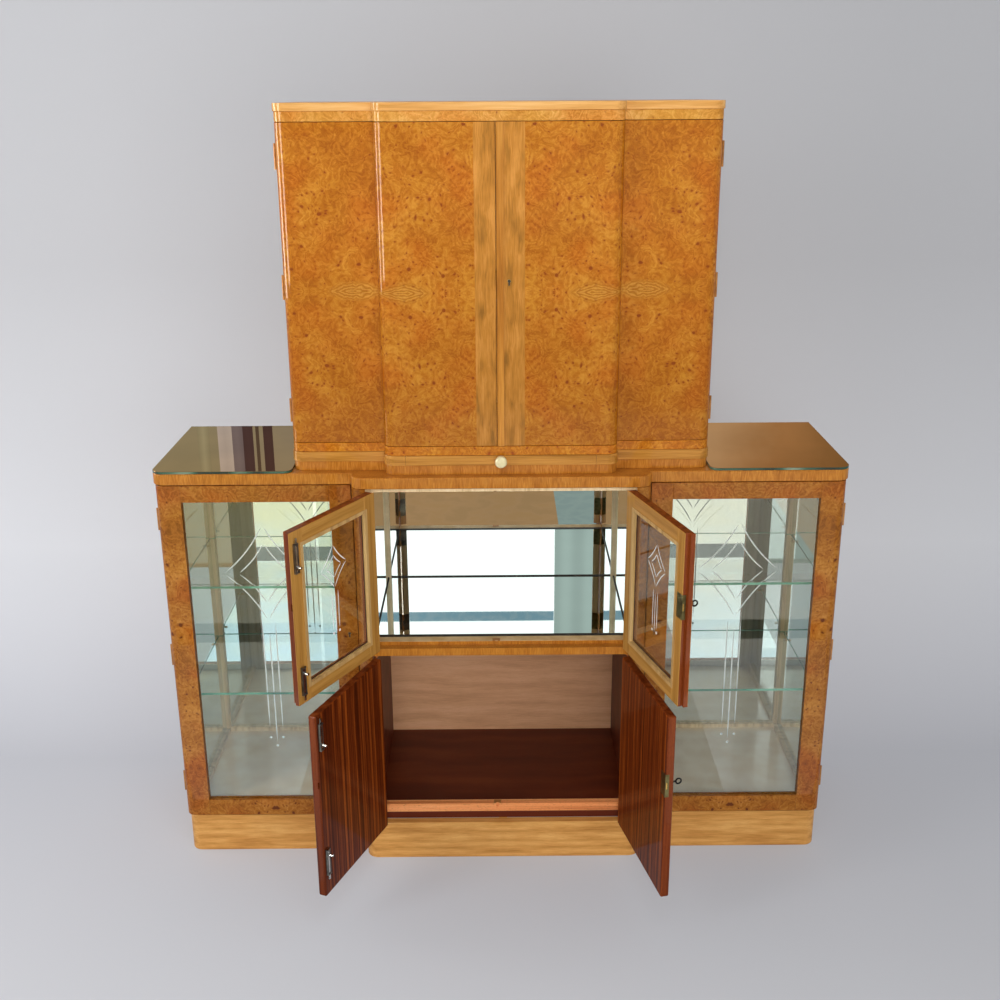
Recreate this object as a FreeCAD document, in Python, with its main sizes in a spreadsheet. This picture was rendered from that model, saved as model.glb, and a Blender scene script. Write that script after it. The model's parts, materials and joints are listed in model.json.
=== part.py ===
import FreeCAD, Part
import Sketcher

import math
import os

# Bar cabinet, in millimetres. X runs to the right, Y to the back and Z up from the floor.
# The origin is on the floor, midway across the cabinet and midway through its depth.
# Doors are drawn shut in a frame of their own, with the hinge axis at its origin, and are
# then set on their hinge at the angle at which they stand open.

sizes = {
    # whole cabinet
    "overall_width": 1600,
    "overall_height": 1800,
    "overall_depth": 400,
    "step_forward": 39,
    # plinth
    "plinth_height": 100,
    "plinth_setback": 9,
    "plinth_board": 20,
    "plinth_radius": 28,
    "plinth_softening": 2,
    # case
    "case_setback": 5.5,
    "panel_thickness": 20,
    "bottom_thickness": 18,
    "partition_thickness": 30,
    "back_thickness": 8,
    "mirror_thickness": 4,
    "opening_half_width": 306,
    "post_width": 35,
    "post_depth": 61,
    "post_radius": 26,
    "display_floor_thickness": 9,
    "bead_width": 11,
    "stop_width": 18,
    "stop_depth": 12,
    # counter slab and its glass
    "slab_top": 998,
    "slab_thickness": 27,
    "slab_radius": 28,
    "slab_softening": 3,
    "glass_thickness": 6,
    "glass_softening": 1,
    "glass_corner": 20,
    "glass_clearance": 0.5,
    # glass shelves in the display cases
    "shelf_glass": 6,
    "upper_glass_height": 704,
    "lower_glass_height": 421,
    "shelf_setback": 8,
    "shelf_end_clearance": 1,
    "pin_radius": 3,
    "pin_reach": 9,
    "pin_inset": 55,
    # centre rail, bar floor, sill and lip
    "rail_top": 584,
    "rail_height": 34,
    "upper_overlap": 7,
    "lower_overlap": 6,
    "bar_floor_thickness": 18,
    "lip_height": 13,
    "lip_depth": 16,
    "sill_height": 22,
    "sill_depth": 18,
    "bracket_size": 42,
    "bracket_thickness": 10,
    # gaps
    "door_gap": 1.2,
    "meeting_gap": 1.5,
    "hinge_gap": 2.4,
    "running_clearance": 0.05,
    # hinges
    "knuckle_radius": 2.6,
    "hinge_pin_radius": 1.2,
    "hinge_plate": 1.1,
    "hinge_plate_width": 18,
    "hinge_height": 54,
    "knuckle_clearance": 0.2,
    # display doors
    "display_door_thickness": 22,
    "display_door_radius": 20,
    "display_post_gap": 4,
    "outer_stile": 59,
    "inner_stile": 50,
    "display_top_rail": 40,
    "display_bottom_rail": 43,
    "member_softening": 1,
    "pane_thickness": 4,
    "pane_front": 8,
    "pane_rebate": 8,
    "pane_clearance": 0.5,
    "keyhole_height": 599,
    "keyhole_inset": 20,
    "keyhole_radius": 3,
    "keyhole_slot_width": 2.6,
    "keyhole_slot_height": 9,
    # doors of the centre
    "leaf_thickness": 20,
    "leaf_stile": 40,
    "leaf_rail": 38,
    "leaf_rebate": 8,
    "leaf_softening": 1.5,
    "bead_proud": 1.5,
    "lower_leaf_softening": 4,
    # flush bolts
    "bolt_plate_height": 66,
    "bolt_plate_width": 13,
    "bolt_plate_thickness": 1.5,
    "bolt_width": 6,
    "bolt_thickness": 3,
    "bolt_guide": 2,
    "bolt_inset": 13,
    "bolt_end_gap": 2,
    "bolt_plate_gap": 12,
    "bolt_throw": 8,
    "bolt_knob_radius": 3,
    "bolt_knob_length": 11,
    "bolt_knob_offset": 64,
    "bolt_clearance": 0.3,
    "bolt_strap": 1,
    "bolt_strap_height": 4,
    "socket_depth": 9,
    "strike_half_width": 9,
    "strike_depth": 14,
    "strike_thickness": 1.2,
    # locks and keys
    "lock_height": 56,
    "bar_lock_level": 806,
    "lower_lock_level": 388,
    "lock_width": 25,
    "lock_depth": 9,
    "lock_wall": 1.5,
    "lock_backset": 14,
    "lock_bolt_height": 16,
    "lock_bolt_thickness": 3,
    "lock_bolt_length": 15,
    "key_radius": 2.2,
    "key_hole_clearance": 0.3,
    "key_reach": 24,
    "key_bow_radius": 8,
    "key_wire": 1.8,
    "key_bit_height": 8,
    "key_bit_length": 2,
    "key_bit_thickness": 1.6,
    # upper cabinet
    "upper_width": 950,
    "upper_setback": 23,
    "upper_half_centre": 263.5,
    "upper_radius": 24,
    "upper_side_thickness": 25,
    "upper_base_height": 22,
    "band_height": 23,
    "band_proud": 2.5,
    "upper_bottom_height": 21,
    "frieze_height": 21,
    "cap_height": 17,
    "cap_proud": 2.5,
    "board_softening": 1.2,
    "upper_door_gap": 1,
    "upper_leaf_thickness": 26,
    "upper_leaf_softening": 1,
    "meeting_offset": 8,
    "astragal_width": 15,
    "astragal_proud": 3,
    "upper_keyhole_offset": 20,
    "upper_keyhole_height": 1433,
    "upper_shelf_height": 1400,
    "upper_shelf_thickness": 18,
    "upper_shelf_setback": 45,
    # pull-out board
    "slide_half_width": 215,
    "slide_clearance": 0.4,
    "slide_board_thickness": 16,
    "slide_front_thickness": 20,
    "slide_depth": 330,
    "knob_radius": 13.5,
    "knob_neck_radius": 6,
    "knob_neck_length": 5,
    "knob_length": 15,
    "knob_softening": 5,
    # overrun of cutting tools past the faces that they cut
    "overrun": 5,
}
# how far the doors of the centre stand open, in degrees from shut
angles = {
    "bar_left_angle": 119,
    "bar_right_angle": 107,
    "lower_left_angle": 112.5,
    "lower_right_angle": 103,
}
# places of the hinges, as shares of a door's height
display_hinge_shares = (0.1, 0.5, 0.9)
leaf_hinge_shares = (0.14, 0.86)
upper_hinge_shares = (0.1, 0.5, 0.9)

doc = FreeCAD.newDocument("BarCabinet")
sheet = doc.addObject("Spreadsheet::Sheet", "Sizes")
for row, (alias, value) in enumerate({**sizes, **angles}.items(), 1):
    sheet.set(f"A{row}", str(value))
    sheet.setAlias(f"A{row}", alias)
doc.recompute()


class Size:
    # a length, with the sheet expression that gives it
    def __init__(self, number, text):
        self.number = number
        self.text = text

    def __add__(self, other):
        other = as_size(other)
        return Size(self.number + other.number, f"({self.text} + {other.text})")

    def __sub__(self, other):
        other = as_size(other)
        return Size(self.number - other.number, f"({self.text} - {other.text})")

    def __mul__(self, factor):
        return Size(self.number * factor, f"({self.text} * {factor})")

    def __truediv__(self, factor):
        return Size(self.number / factor, f"({self.text} / {factor})")

    def __neg__(self):
        return Size(-self.number, f"(-{self.text})")


def as_size(value):
    if isinstance(value, Size):
        return value
    return Size(value, str(value))


class Named:
    # every alias of a table, as a Size
    def __init__(self, table):
        for alias, value in table.items():
            setattr(self, alias, Size(value, f"Sizes.{alias}"))


s = Named(sizes)
opened = Named(angles)
nil = as_size(0)
parts = []


def ordered(span):
    low, high = sorted((as_size(end) for end in span), key=lambda end: end.number)
    return low, high


def set_base(thing, **places):
    for axis, place in places.items():
        thing.setExpression(f"Placement.Base.{axis}", as_size(place).text)


def block(name, x, y, z):
    # a square-edged box between two planes on each axis
    box = doc.addObject("Part::Box", name)
    for prop, axis, span in (("Length", "x", x), ("Width", "y", y), ("Height", "z", z)):
        low, high = ordered(span)
        box.setExpression(prop, (high - low).text)
        set_base(box, **{axis: low})
    return box


def soft_block(name, x, y, z, softening):
    # the same box with every edge rounded
    body = doc.addObject("PartDesign::Body", name)
    box = body.newObject("PartDesign::AdditiveBox", name + "_box")
    for prop, axis, span in (("Length", "x", x), ("Width", "y", y), ("Height", "z", z)):
        low, high = ordered(span)
        box.setExpression(prop, (high - low).text)
        set_base(body, **{axis: low})
    doc.recompute()
    fillet = body.newObject("PartDesign::Fillet", name + "_edges")
    fillet.Base = (box, ["Face1"])
    fillet.UseAllEdges = True
    fillet.setExpression("Radius", softening.text)
    body.Tip = fillet
    return body


turns = {
    "x": FreeCAD.Rotation(FreeCAD.Vector(0, 1, 0), 90),
    "y": FreeCAD.Rotation(FreeCAD.Vector(1, 0, 0), -90),
    "z": FreeCAD.Rotation(),
}


def rod(name, axis, radius, span, **centre):
    # a round bar along one axis
    low, high = ordered(span)
    bar = doc.addObject("Part::Cylinder", name)
    bar.Placement.Rotation = turns[axis]
    bar.setExpression("Radius", radius.text)
    bar.setExpression("Height", (high - low).text)
    set_base(bar, **{axis: low}, **centre)
    return bar


def unite(name, *pieces):
    joined = doc.addObject("Part::MultiFuse", name)
    joined.Shapes = list(pieces)
    joined.Refine = True
    return joined


def cut(name, base, *tools):
    # takes the tools away from the base, one after another
    for count, tool in enumerate(tools):
        result = doc.addObject("Part::Cut", f"{name}_{count}" if count else name)
        result.Base = base
        result.Tool = tool
        base = result
    return base


def draw_outline(sketch, corners):
    # A closed outline of lines along the two axes. Each corner is (a, b) or (a, b, radius), in
    # order, and every line holds the offset that its two corners share.
    places = [(as_size(c[0]), as_size(c[1])) for c in corners]
    radii = [c[2] if len(c) > 2 else None for c in corners]
    points = [FreeCAD.Vector(a.number, b.number, 0) for a, b in places]
    count = len(corners)
    starts = []
    ends = []
    arcs = {}
    up = FreeCAD.Vector(0, 0, 1)
    for i, point in enumerate(points):
        came = (point - points[i - 1]).normalize()
        goes = (points[(i + 1) % count] - point).normalize()
        reach = radii[i].number if radii[i] else 0
        ends.append(point - came * reach)
        starts.append(point + goes * reach)
    for i in range(count):
        sketch.addGeometry(Part.LineSegment(starts[i], ends[(i + 1) % count]), False)
    for i, point in enumerate(points):
        if not radii[i]:
            continue
        centre = starts[i] + ends[i] - point
        first, last = ends[i], starts[i]
        turned_left = (first - centre).cross(last - centre).z > 0
        if not turned_left:
            first, last = last, first
        angles = [math.atan2(p.y - centre.y, p.x - centre.x) for p in (first, last)]
        circle = Part.Circle(centre, up, radii[i].number)
        arc = sketch.addGeometry(Part.ArcOfCircle(circle, *angles), False)
        arcs[i] = (arc, 1 if turned_left else 2)
    for i in range(count):
        before = (i - 1) % count
        if i in arcs:
            arc, entry = arcs[i]
            sketch.addConstraint(Sketcher.Constraint("Tangent", before, 2, arc, entry))
            sketch.addConstraint(Sketcher.Constraint("Tangent", i, 1, arc, 3 - entry))
            hold(sketch, Sketcher.Constraint("Radius", arc, radii[i].number), radii[i])
        else:
            sketch.addConstraint(Sketcher.Constraint("Coincident", before, 2, i, 1))
    for i in range(count):
        line = points[(i + 1) % count] - points[i]
        if abs(line.x) > abs(line.y):
            sketch.addConstraint(Sketcher.Constraint("Horizontal", i))
            fix_line(sketch, i, "DistanceY", -1, places[i][1])
        else:
            sketch.addConstraint(Sketcher.Constraint("Vertical", i))
            fix_line(sketch, i, "DistanceX", -2, places[i][0])


def hold(sketch, constraint, size):
    index = sketch.addConstraint(constraint)
    sketch.setExpression(f"Constraints[{index}]", size.text)


def fix_line(sketch, line, kind, axis, offset):
    # sets a line's offset from the sketch's origin, or lays it on the axis itself
    if offset.number:
        constraint = Sketcher.Constraint(kind, -1, 1, line, 1, offset.number)
        hold(sketch, constraint, offset)
    else:
        sketch.addConstraint(Sketcher.Constraint("PointOnObject", line, 1, axis))


def prism(name, corners, span, softening=None, plane="XY_Plane"):
    # an outline drawn on a plane and carried along the plane's normal
    low, high = ordered(span)
    body = doc.addObject("PartDesign::Body", name)
    doc.recompute()
    sketch = body.newObject("Sketcher::SketchObject", name + "_outline")
    flat = [f for f in body.Origin.OriginFeatures if f.Role == plane]
    sketch.AttachmentSupport = [(flat[0], "")]
    sketch.MapMode = "FlatFace"
    draw_outline(sketch, corners)
    pad = body.newObject("PartDesign::Pad", name + "_pad")
    pad.Profile = sketch
    pad.setExpression("Length", (high - low).text)
    set_base(body, **{"z" if plane == "XY_Plane" else "x": low})
    doc.recompute()
    if softening:
        ends = end_faces(pad.Shape, 2 if plane == "XY_Plane" else 0)
        fillet = body.newObject("PartDesign::Fillet", name + "_edges")
        fillet.Base = (pad, ends)
        fillet.setExpression("Radius", softening.text)
        body.Tip = fillet
    return body


def end_faces(shape, axis):
    # the two flat faces at the ends of a prism
    names = []
    for index, face in enumerate(shape.Faces, 1):
        low, high = face.BoundBox.getPoint(0)[axis], face.BoundBox.getPoint(6)[axis]
        if abs(high - low) < Part.Precision.confusion():
            names.append(f"Face{index}")
    return names


def mirrored(corners):
    # the outline of the right half, closed by the same corners on the left
    left = [(-as_size(c[0]), *c[1:]) for c in reversed(corners)]
    return [*left, *corners]


def node(label, *pieces):
    # one named part: a single solid, or a group of separate ones
    if len(pieces) == 1:
        thing = pieces[0]
    else:
        thing = doc.addObject("Part::Compound", "group_" + label)
        thing.Links = list(pieces)
    thing.Label = label
    parts.append(thing)
    return thing


class Hinge:
    # A hinge line: which side it is on, where its axis stands, how far the door is open at rest
    # and the height that the door takes up. The side is -1 on the left and 1 on the right.
    def __init__(self, side, x, y, low, high, opened):
        self.side = side
        self.x = x * side
        self.y = y
        self.low = low
        self.high = high
        self.opened = opened

    def across(self, distance):
        # a distance from the hinge axis towards the door's free edge
        return as_size(distance) * -self.side

    def hang(self, label, *pieces):
        # a node drawn in the door's own frame, set on the hinge line
        thing = doc.addObject("Part::Compound", "hung_" + label)
        thing.Links = list(pieces)
        thing.Placement.Rotation = FreeCAD.Rotation(FreeCAD.Vector(0, 0, 1), 1)
        thing.setExpression("Placement.Rotation.Angle", (self.opened * self.side).text)
        set_base(thing, x=self.x, y=self.y)
        thing.Label = label
        parts.append(thing)
        return thing


# levels and planes that several pieces share
half_width = s.overall_width / 2
back = s.overall_depth / 2
side_front = -back
centre_front = side_front - s.step_forward
slab_under = s.slab_top - s.slab_thickness
case_half = half_width - s.case_setback
case_inner = case_half - s.panel_thickness
case_front = side_front + s.display_door_thickness + s.hinge_gap
panel_front = back - s.back_thickness
partition_outer = s.opening_half_width + s.partition_thickness
half_centre = s.opening_half_width + s.post_width
post_back = centre_front + s.post_depth
leaf_back = centre_front + s.leaf_thickness
bottom_top = s.plinth_height + s.bottom_thickness
display_floor_top = bottom_top + s.display_floor_thickness
mirror_front = panel_front - s.mirror_thickness
rail_bottom = s.rail_top - s.rail_height


def stepped(half, centre, front, front_centre, radius, rear=back):
    # the plan that slab, plinth and upper boards share: a centre that stands forward
    return mirrored([
        (centre, front_centre, radius),
        (centre, front),
        (half, front, radius),
        (half, rear),
    ])


def spans(side, inner, outer):
    # a span across the cabinet, on the side given
    return inner * side, outer * side


def build_plinth():
    half = half_width - s.plinth_setback
    front = side_front
    front_inner = front + s.plinth_board
    centre_inner = centre_front + s.plinth_board
    face = prism("plinth_face", [
        *mirrored([
            (half_centre, centre_front, s.plinth_radius),
            (half_centre, front),
            (half, front, s.plinth_radius),
            (half, front + s.plinth_radius + s.plinth_board),
            (half - s.plinth_board, front + s.plinth_radius + s.plinth_board),
            (half - s.plinth_board, front_inner),
            (half_centre - s.plinth_board, front_inner),
            (half_centre - s.plinth_board, centre_inner),
        ]),
    ], (nil, s.plinth_height))
    start = front + s.plinth_radius + s.plinth_board
    height = (nil, s.plinth_height)
    boards = [face]
    for side, hand in ((-1, "left"), (1, "right")):
        boards.append(block("plinth_end_" + hand, spans(side, half - s.plinth_board, half),
                            (start, back), height))
        boards.append(block("plinth_bearer_" + hand,
                            spans(side, s.opening_half_width, s.opening_half_width + s.plinth_board),
                            (front_inner, back - s.plinth_board), height))
    boards.append(block("plinth_rear", (s.plinth_board - half, half - s.plinth_board),
                        (back - s.plinth_board, back), height))
    boards.append(block("plinth_bearer_middle", (-s.plinth_board / 2, s.plinth_board / 2),
                        (centre_inner, back - s.plinth_board), height))
    node("plinth", *boards)


def build_case():
    # the bottom stands back behind the doors, and its centre stands forward with them
    bottom = prism("bottom_board", mirrored([
        (s.opening_half_width, leaf_back + s.door_gap),
        (s.opening_half_width, case_front),
        (case_inner, case_front),
        (case_inner, back),
    ]), (s.plinth_height, bottom_top))
    node("case_bottom", bottom)
    backs = []
    dividers = []
    posts = []
    for side, hand in ((-1, "left"), (1, "right")):
        node("side_panel_" + hand, block(
            "panel_" + hand, spans(side, case_inner, case_half), (case_front, back),
            (s.plinth_height, slab_under)))
        dividers.append(block(
            "divider_" + hand, spans(side, s.opening_half_width, partition_outer),
            (post_back, back), (bottom_top, slab_under)))
        posts.append(prism("post_" + hand, [
            (s.opening_half_width * side, post_back),
            (s.opening_half_width * side, centre_front),
            (half_centre * side, centre_front, s.post_radius),
            (half_centre * side, case_front),
            (partition_outer * side, case_front),
            (partition_outer * side, post_back),
        ], (s.plinth_height, slab_under)))
        backs.append(block("back_" + hand, spans(side, partition_outer, case_inner),
                           (panel_front, back), (bottom_top, slab_under)))
    backs.append(block("back_centre", (-s.opening_half_width, s.opening_half_width),
                       (panel_front, back), (bottom_top, slab_under)))
    node("partitions", *dividers)
    node("centre_posts", *posts)
    node("back_panels", *backs)


def build_counter():
    slab = prism("slab", stepped(half_width, half_centre, side_front, centre_front,
                                 s.slab_radius), (slab_under, s.slab_top), s.slab_softening)
    socket = bolt_socket("slab_socket", (slab_under, slab_under + s.socket_depth))
    node("counter_slab", cut("slab_cut", slab, socket))
    plates = []
    inner = s.upper_width / 2 + s.cap_proud + s.glass_clearance
    for side, hand in ((-1, "left"), (1, "right")):
        plates.append(prism("plate_" + hand, [
            (inner * side, side_front, s.glass_corner),
            (half_width * side, side_front, s.slab_radius),
            (half_width * side, back),
            (inner * side, back),
        ], (s.slab_top, s.slab_top + s.glass_thickness), s.glass_softening))
    node("counter_glass", *plates)


def build_display_insides():
    floors = []
    mirrors = []
    beads = []
    shelves = []
    pins = []
    height = (display_floor_top, slab_under)
    front = case_front + s.stop_depth
    for side, hand in ((-1, "left"), (1, "right")):
        whole = spans(side, partition_outer, case_inner)
        floors.append(block("floor_" + hand, whole, (case_front, panel_front),
                            (bottom_top, display_floor_top)))
        mirrors.append(block("rear_mirror_" + hand, whole, (mirror_front, panel_front), height))
        mirror_face = case_inner - s.mirror_thickness
        flank = block("flank_mirror_" + hand, spans(side, mirror_face, case_inner),
                      (case_front, mirror_front), height)
        shelf_low = partition_outer + s.shelf_end_clearance
        shelf_high = mirror_face - s.shelf_end_clearance
        shelf_front = front + s.shelf_setback
        shelf_back = mirror_front - s.shelf_end_clearance
        bead_low = shelf_back - s.bead_width
        holes = []
        for level, name in ((s.lower_glass_height, "lower"), (s.upper_glass_height, "upper")):
            under = level - s.shelf_glass
            shelves.append(prism(f"shelf_{name}_{hand}", [
                (shelf_low * side, shelf_front),
                (shelf_high * side, shelf_front),
                (shelf_high * side, bead_low),
                ((shelf_high - s.bead_width) * side, bead_low),
                ((shelf_high - s.bead_width) * side, shelf_back),
                ((shelf_low + s.bead_width) * side, shelf_back),
                ((shelf_low + s.bead_width) * side, bead_low),
                (shelf_low * side, bead_low),
            ], (under, level)))
            for y, end in ((shelf_front + s.pin_inset, "front"), (shelf_back - s.pin_inset, "rear")):
                tag = f"{name}_{end}_{hand}"
                z = under - s.pin_radius
                pins.append(rod("inner_pin_" + tag, "x", s.pin_radius,
                                spans(side, partition_outer, partition_outer + s.pin_reach), y=y, z=z))
                pins.append(rod("outer_pin_" + tag, "x", s.pin_radius,
                                spans(side, mirror_face - s.pin_reach, case_inner), y=y, z=z))
                holes.append(rod("pin_hole_" + tag, "x", s.pin_radius,
                                 spans(side, mirror_face - s.overrun, case_inner + s.overrun),
                                 y=y, z=z))
        mirrors.append(cut("flank_cut_" + hand, flank, *holes))
        for x, name in ((partition_outer, "inner"), (mirror_face - s.bead_width, "outer")):
            beads.append(block(f"corner_bead_{name}_{hand}", spans(side, x, x + s.bead_width),
                               (mirror_front - s.bead_width, mirror_front), height))
        beads.append(block("rear_bead_" + hand,
                           spans(side, partition_outer + s.bead_width, mirror_face - s.bead_width),
                           (mirror_front - s.bead_width, mirror_front),
                           (display_floor_top, display_floor_top + s.bead_width)))
        beads.append(block("flank_bead_" + hand, spans(side, mirror_face - s.bead_width, mirror_face),
                           (case_front, mirror_front - s.bead_width),
                           (display_floor_top, display_floor_top + s.bead_width)))
        beads.append(block("door_stop_" + hand,
                           spans(side, partition_outer, partition_outer + s.stop_width),
                           (case_front, case_front + s.stop_depth), height))
    node("display_floors", *floors)
    node("display_mirrors", *mirrors)
    trim_beads.extend(beads)
    node("glass_shelves", *shelves)
    node("shelf_pins", *pins)


def bolt_socket(name, z):
    # the pocket that a left-hand bolt shoots into when the doors are shut
    x = s.bolt_inset * -1 - s.meeting_gap / 2
    half = s.bolt_width / 2 + s.bolt_clearance
    y = leaf_back + s.bolt_plate_thickness
    return block(name, (x - half, x + half),
                 (y - s.bolt_clearance, y + s.bolt_thickness + s.bolt_clearance), z)


def build_centre():
    half = s.opening_half_width
    width = (-half, half)
    front = centre_front
    stop = leaf_back + s.door_gap
    # the rail has a nose between the doors and a wider body behind them, which stops them
    low_nose = rail_bottom + s.lower_overlap + s.door_gap
    high_nose = s.rail_top - s.upper_overlap - s.door_gap
    rail = prism("rail", [
        (front, low_nose),
        (stop, low_nose),
        (stop, rail_bottom),
        (post_back, rail_bottom),
        (post_back, s.rail_top),
        (stop, s.rail_top),
        (stop, high_nose),
        (front, high_nose),
    ], width, plane="YZ_Plane")
    low_socket = bolt_socket("rail_socket_low", (rail_bottom, rail_bottom + s.socket_depth))
    high_socket = bolt_socket("rail_socket_high", (s.rail_top - s.socket_depth, s.rail_top))
    node("bar_rail", cut("rail_cut", rail, low_socket, high_socket))
    floor_top = s.rail_top - s.mirror_thickness
    node("bar_floor", block("bar_floor_board", width, (post_back, panel_front),
                            (floor_top - s.bar_floor_thickness, floor_top)))
    mirrors = [
        block("bar_rear_mirror", width, (mirror_front, panel_front), (floor_top, slab_under)),
        block("bar_floor_mirror", width, (post_back, mirror_front), (floor_top, s.rail_top)),
    ]
    for side, hand in ((-1, "left"), (1, "right")):
        mirrors.append(block("bar_flank_mirror_" + hand,
                             spans(side, half - s.mirror_thickness, half),
                             (post_back, mirror_front), (s.rail_top, slab_under)))
    node("bar_mirrors", *mirrors)
    lip = block("lip_board", width, (stop, stop + s.lip_depth), (slab_under - s.lip_height, slab_under))
    lip_socket = bolt_socket("lip_socket", (slab_under - s.lip_height - s.overrun,
                                            slab_under + s.overrun))
    trim_beads.append(cut("lip_cut", lip, lip_socket))
    sill_top = bottom_top + s.sill_height
    sill = block("sill_board", width, (stop, stop + s.sill_depth), (bottom_top, sill_top))
    sill_socket = bolt_socket("sill_socket", (sill_top - s.socket_depth, sill_top + s.overrun))
    brackets = [cut("sill_cut", sill, sill_socket)]
    under = floor_top - s.bar_floor_thickness
    for side, hand in ((-1, "left"), (1, "right")):
        # a triangle that tapers downwards, against the divider and under the bar floor
        wedge = doc.addObject("Part::Wedge", "bracket_" + hand)
        for corner in ("Xmin", "Ymin", "Zmin", "X2min", "Z2min", "X2max"):
            wedge.setExpression(corner, nil.text)
        for corner, size in (("Xmax", s.bracket_size), ("Ymax", s.bracket_size),
                             ("Zmax", s.bracket_thickness), ("Z2max", s.bracket_thickness)):
            wedge.setExpression(corner, size.text)
        inward = FreeCAD.Vector(-side, 0, 0)
        down = FreeCAD.Vector(0, 0, -1)
        wedge.Placement.Rotation = FreeCAD.Rotation(inward, down, inward.cross(down))
        depth = s.bracket_thickness if side > 0 else nil
        set_base(wedge, x=half * side, y=post_back + depth, z=under)
        brackets.append(wedge)
    node("lower_trim", *brackets)
    for level, name in ((s.rail_top, "rail"), (sill_top, "sill")):
        x = s.bolt_inset * -1 - s.meeting_gap / 2
        plate = block("strike_base_" + name, (x - s.strike_half_width, x + s.strike_half_width),
                      (stop, stop + s.strike_depth), (level, level + s.strike_thickness))
        hole = bolt_socket("strike_hole_" + name, (level - s.overrun, level + s.overrun))
        fixed_fittings.append(cut("strike_" + name, plate, hole))


hinge_reach = s.knuckle_radius + s.knuckle_clearance
hinge_offset = s.hinge_gap / 2
# pieces that several functions add to, and that share a node at the end
fixed_fittings = []
trim_beads = []


def hinge_half(name, hinge, z, moving, inset):
    # One half of a butt hinge: a plate, its knuckles and, on the fixed half, the pin. On an inset
    # door the plates lie between the door's edge and the post, on an overlay door behind it.
    sign = 1 if moving else -1
    low = z - s.hinge_height / 2
    third = s.hinge_height / 3
    flat = (hinge_offset - s.hinge_plate, hinge_offset)

    def plate(tag, reach, height):
        if inset:
            x = tuple(hinge.across(end * sign) for end in flat)
            return block(name + tag, x, reach, height)
        y = tuple(end * -sign for end in flat)
        return block(name + tag, tuple(hinge.across(end) for end in reach), y, height)

    solids = [plate("_plate", (hinge_reach, hinge_reach + s.hinge_plate_width),
                    (low, low + s.hinge_height))]
    if moving:
        heights = [(low + third + s.knuckle_clearance, low + third * 2 - s.knuckle_clearance)]
    else:
        heights = [(low, low + third), (low + third * 2, low + s.hinge_height)]
    for count, height in enumerate(heights):
        solids.append(plate(f"_tab_{count}", (nil, hinge_reach), height))
        solids.append(rod(f"{name}_knuckle_{count}", "z", s.knuckle_radius, height, x=nil, y=nil))
    if moving:
        bore = rod(name + "_bore", "z", s.hinge_pin_radius + s.running_clearance,
                   (low, low + s.hinge_height), x=nil, y=nil)
        return cut(name, unite(name + "_joined", *solids), bore)
    solids.append(rod(name + "_pin", "z", s.hinge_pin_radius, (low, low + s.hinge_height),
                      x=nil, y=nil))
    half = unite(name, *solids)
    set_base(half, x=hinge.x, y=hinge.y)
    return half


def hinges(name, hinge, shares, inset=True):
    # makes the hinges of one door; the moving halves come back, the fixed ones are kept
    moving = []
    for count, share in enumerate(shares):
        z = hinge.low + (hinge.high - hinge.low) * share
        fixed_fittings.append(hinge_half(f"{name}_fixed_{count}", hinge, z, False, inset))
        moving.append(hinge_half(f"{name}_moving_{count}", hinge, z, True, inset))
    return moving


def glazing(name, hinge, sight, height, face, thickness, proud):
    # The pocket that the pane lies in, the pane and the beads that hold it from behind. The sight
    # and the height are the open part of the frame, and the face is the plane of its front.
    rebate = s.pane_rebate
    near, far = sight
    low, high = height
    pane_face = face + s.pane_front
    rear = pane_face + s.pane_thickness
    back_face = face + thickness
    pocket = block(name + "_pocket", (hinge.across(near - rebate), hinge.across(far + rebate)),
                   (pane_face, back_face + s.overrun), (low - rebate, high + rebate))
    edge = rebate - s.pane_clearance
    pane = block(name + "_glass", (hinge.across(near - edge), hinge.across(far + edge)),
                 (pane_face, rear), (low - edge, high + edge))
    depth = (rear, back_face + proud)
    beads = [
        block(name + "_bead_top", (hinge.across(near), hinge.across(far)), depth,
              (high, high + rebate)),
        block(name + "_bead_base", (hinge.across(near), hinge.across(far)), depth,
              (low - rebate, low)),
        block(name + "_bead_near", (hinge.across(near - rebate), hinge.across(near)), depth,
              (low - rebate, high + rebate)),
        block(name + "_bead_far", (hinge.across(far), hinge.across(far + rebate)), depth,
              (low - rebate, high + rebate)),
    ]
    return pocket, pane, beads


def keyhole(name, x, face, z):
    # a round hole over a slot, cut into a door's front
    depth = (face - s.overrun, face + s.pane_front)
    return [
        rod(name + "_eye", "y", s.keyhole_radius, depth, x=x, z=z),
        block(name + "_slot", (x - s.keyhole_slot_width / 2, x + s.keyhole_slot_width / 2), depth,
              (z - s.keyhole_slot_height, z)),
    ]


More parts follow.
